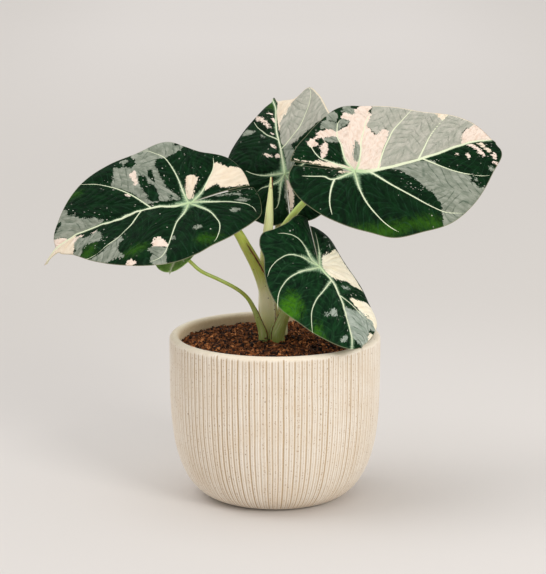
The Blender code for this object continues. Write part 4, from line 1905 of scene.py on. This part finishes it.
def stalks(left: Blade, right: Blade, back: Blade, front: Blade, small: Blade) -> list[Stalk]:
    """The five petioles and the rolled leaf, each with its own colours.

    Args:
        left: The left blade.
        right: The right blade.
        back: The back blade.
        front: The front blade.
        small: The small blade.

    Returns:
        The stalks, ready to build.
    """
    return [
        Stalk(
            name="petiole_left_sheathed",
            node="petiole_left",
            blade=left,
            seed=1.0,
            finish=StalkFinish(
                "petiole_left", (214, 216, 150), (246, 238, 196), (180, 194, 76),
                heights=(6, 26, 48), blotch=0.24,
            ),
            points=(
                (-4, 6, 0, 5.2), (-4.9, 5.4, 21, 5.3), (-6.2, 4.6, 34, 5.0), (-11.3, 1.5, 48, 4.1),
                (-18.6, -1.5, 62.5, 3.5), (-26, -3, 75, 3.0), (-38, -2, 84, 2.4),
            ),
            edges=(SheathEdge(66, 25, 62, 28, 0.55, 1.0), SheathEdge(24, 12, 20, 30, 0.3, 4.0)),
        ),
        Stalk(
            name="petiole_right_sheathed",
            node="petiole_right",
            blade=right,
            seed=12.0,
            finish=StalkFinish(
                "petiole_right", (222, 220, 166), (216, 224, 152), (190, 214, 108),
                heights=(10, 60, 92), blotch=0.16,
            ),
            points=(
                (5, 12, 0, 3.4), (3.6, 12.4, 24, 3.1), (2, 12, 49, 2.7), (2.6, 9.8, 66, 2.4),
                (6.7, 7.2, 76, 2.25), (19.4, 5, 91.7, 2.1), (34, 6, 101.5, 2.0),
            ),
        ),
        Stalk(
            name="petiole_back_sheathed",
            node="petiole_back",
            blade=back,
            seed=23.0,
            finish=StalkFinish(
                "petiole_back", (170, 168, 124), (140, 152, 84), (196, 196, 160),
                heights=(10, 40, 80), blotch=0.3,
            ),
            points=(
                (-1.5, 18, 0, 3.1), (-1.4, 20, 24, 2.9), (0.5, 26, 51, 2.5), (3.5, 38, 79, 2.2),
                (6, 47, 92, 2.0),
            ),
        ),
        Stalk(
            name="petiole_front_sheathed",
            node="petiole_front",
            blade=front,
            seed=34.0,
            finish=StalkFinish(
                "petiole_front", (146, 162, 78), (152, 166, 84), (164, 178, 94),
                heights=(4, 18, 42), blotch=0.3,
            ),
            points=(
                (1.6, -4.2, 0, 5.0), (5.8, -4.6, 17, 3.8), (11, -6, 29, 3.0), (17, -11, 40, 2.5),
                (22, -19, 47.5, 2.1),
            ),
            edges=(SheathEdge(18, 2.5, 168, 132, 0.42, 7.0),),
        ),
        Stalk(
            name="petiole_small_sheathed",
            node="petiole_small",
            blade=small,
            seed=45.0,
            finish=StalkFinish(
                "petiole_small", (148, 166, 88), (160, 180, 96), (156, 180, 72),
                heights=(3, 18, 30), blotch=0.24,
            ),
            points=(
                (-7.7, -4.3, 0, 3.1), (-9.8, -4.2, 12, 2.4), (-13.4, -5, 21.7, 1.7), (-18, -6, 30, 1.35),
                (-25, -8, 36.5, 1.25), (-36.2, -10, 43, 1.2), (-47.8, -12, 49, 1.2), (-55, -12.5, 55.5, 1.2),
            ),
            edges=(SheathEdge(23, 1.5, 20, 40, 0.36, 11.0),),
        ),
        RolledLeaf(
            name="new_leaf_rolled",
            node="new_leaf",
            seed=56.0,
            samples=12,
            finish=StalkFinish(
                "rolled_leaf", (234, 226, 166), (242, 240, 178), (244, 248, 176),
                heights=(20, 50, 80), blotch=0.12,
            ),
            points=(
                (-8.6, 15.8, 0, 2.5), (-7.8, 14.0, 31, 2.9), (-7.2, 9.6, 47, 3.1), (-6.3, 5.6, 60, 3.2),
                (-4.5, 4.0, 74.5, 3.1), (-3.3, 4.0, 92, 2.0), (-2.5, 4.0, 108.5, 0.5),
            ),
            edges=(SheathEdge(109, 101, 20, 20, 0.5, 3.0),),
        ),
    ]


# The studio.


@dataclass
class Studio:
    """Pale floor, soft lights and the camera."""

    reach: float = 14.0
    camera_place: Triple = (-1.25, -1600.0, 483.0)
    camera_pitch: float = 12.1
    lens: float = 164.52
    sensor: float = 36.0
    sky: float = 0.7
    sun_power: float = 1.0

    def _floor(self) -> None:
        """Lay the floor."""
        mesh = bpy.data.meshes.new("studio_floor")
        corners = [(x * self.reach, y * self.reach, 0.0) for x, y in ((-1, -1), (1, -1), (1, 1), (-1, 1))]
        mesh.from_pydata(corners, [], [(0, 1, 2, 3)])
        mesh.materials.append(StudioFinish().build())
        floor = bpy.data.objects.new("studio_floor", mesh)
        bpy.context.scene.collection.objects.link(floor)

    def _sky(self) -> None:
        """Fill the room with soft pale light."""
        world = bpy.data.worlds.new("studio_air")
        world.use_nodes = True
        back = world.node_tree.nodes["Background"]
        back.inputs["Color"].default_value = (1.0, 0.995, 0.985, 1.0)
        back.inputs["Strength"].default_value = self.sky
        bpy.context.scene.world = world

    def _lamp(self, name: str, place: Triple, power: float, size: float, colour: Triple) -> None:
        """Hang one square soft box that faces the plant.

        Args:
            name: Its name.
            place: Place in metres.
            power: Power in watts.
            size: Side in metres.
            colour: Colour of its light.
        """
        data = bpy.data.lights.new(name, "AREA")
        data.energy = power
        data.size = size
        data.color = colour
        lamp = bpy.data.objects.new(name, data)
        lamp.location = place
        lamp.rotation_euler = (Vector((0.0, 0.0, 0.12)) - Vector(place)).to_track_quat("-Z", "Y").to_euler()
        bpy.context.scene.collection.objects.link(lamp)

    def _sun(self, name: str, turn: Triple, power: float, spread: float) -> None:
        """Add one far soft light, turned by angles in degrees.

        Args:
            name: Its name.
            turn: Angles about the three axes.
            power: Its strength.
            spread: Its width in degrees.
        """
        data = bpy.data.lights.new(name, "SUN")
        data.energy = power
        data.angle = math.radians(spread)
        lamp = bpy.data.objects.new(name, data)
        lamp.rotation_euler = Euler([math.radians(angle) for angle in turn])
        bpy.context.scene.collection.objects.link(lamp)

    def _camera(self) -> None:
        """Set up the camera."""
        data = bpy.data.cameras.new("studio_camera")
        data.sensor_fit = "HORIZONTAL"
        data.sensor_width = self.sensor
        data.lens = self.lens
        data.clip_end = 50.0
        camera = bpy.data.objects.new("studio_camera", data)
        camera.location = Vector(self.camera_place) * MM
        camera.rotation_euler = (math.radians(90 - self.camera_pitch), 0.0, 0.0)
        bpy.context.scene.collection.objects.link(camera)
        bpy.context.scene.camera = camera

    def build(self) -> None:
        """Set up the studio."""
        scene = bpy.context.scene
        scene.view_settings.view_transform = "Standard"
        self._floor()
        self._sky()
        self._sun("soft_key", (-4.0, -30.0, 0.0), self.sun_power, 50.0)
        self._lamp("right_fill", (1.4, -1.9, 1.3), 26.0, 0.9, (1.0, 0.995, 0.98))
        self._camera()


def main() -> None:
    """Build the plant piece by piece, then the studio."""
    logging.basicConfig(level=logging.INFO, format="%(name)s %(message)s")
    RibbedPot().build(StonewareFinish())
    SoilBed().build(SoilFinish())
    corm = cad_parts["corm"]
    skin = CormFinish().build()
    for slot in corm.material_slots:
        slot.material = skin
    log.info("corm: kept from the frame with its own skin")
    top = BladeFinish("variegated_velvet").build()
    under = BladeFinish(
        "variegated_underside", velvet=(92, 112, 84), velvet_light=(120, 138, 106), moss=(110, 140, 84),
        silver=(164, 170, 148), silver_deep=(140, 150, 128), mist=(186, 188, 168), mist_deep=(164, 172, 150),
        cream=(226, 218, 186), cream_warm=(214, 204, 168), blush=(216, 198, 176), blush_deep=(204, 184, 160),
        net_and_crease_shade=(120, 134, 108), glow=(150, 166, 130), roughness=0.55, specular=0.2,
    ).build()
    # The front blade gets a lighter copy of the blade finish: its colours are raised, partly as painted light
    # because this blade faces away from the light.
    front_top_lightened = BladeFinish(
        "variegated_velvet_front_lightened", velvet=(7, 30, 15), velvet_light=(20, 58, 28), moss=(66, 122, 18),
        silver=(176, 184, 172), silver_deep=(146, 158, 144), cream=(255, 247, 224),
        cream_warm=(252, 240, 210), furrow=(58, 98, 66),
    ).build()
    young = BladeFinish(
        "young_blade", velvet=(106, 150, 66), velvet_light=(142, 180, 92), moss=(120, 160, 70),
        furrow=(96, 136, 62), glow=(186, 208, 146), margin=(200, 210, 160),
    ).build()
    rib = RibFinish().build()
    left, right, back, front, small = left_blade(), right_blade(), back_blade(), front_blade(), small_blade()
    for blade in (left, right, back):
        blade.build(top, under, rib)
    front.build(front_top_lightened, under, rib)
    small.build(young, young, rib)
    dry = DryEdgeFinish().build()
    for stalk in stalks(left, right, back, front, small):
        stalk.build(dry)
    Studio().build()


if __name__ == "__main__":
    main()
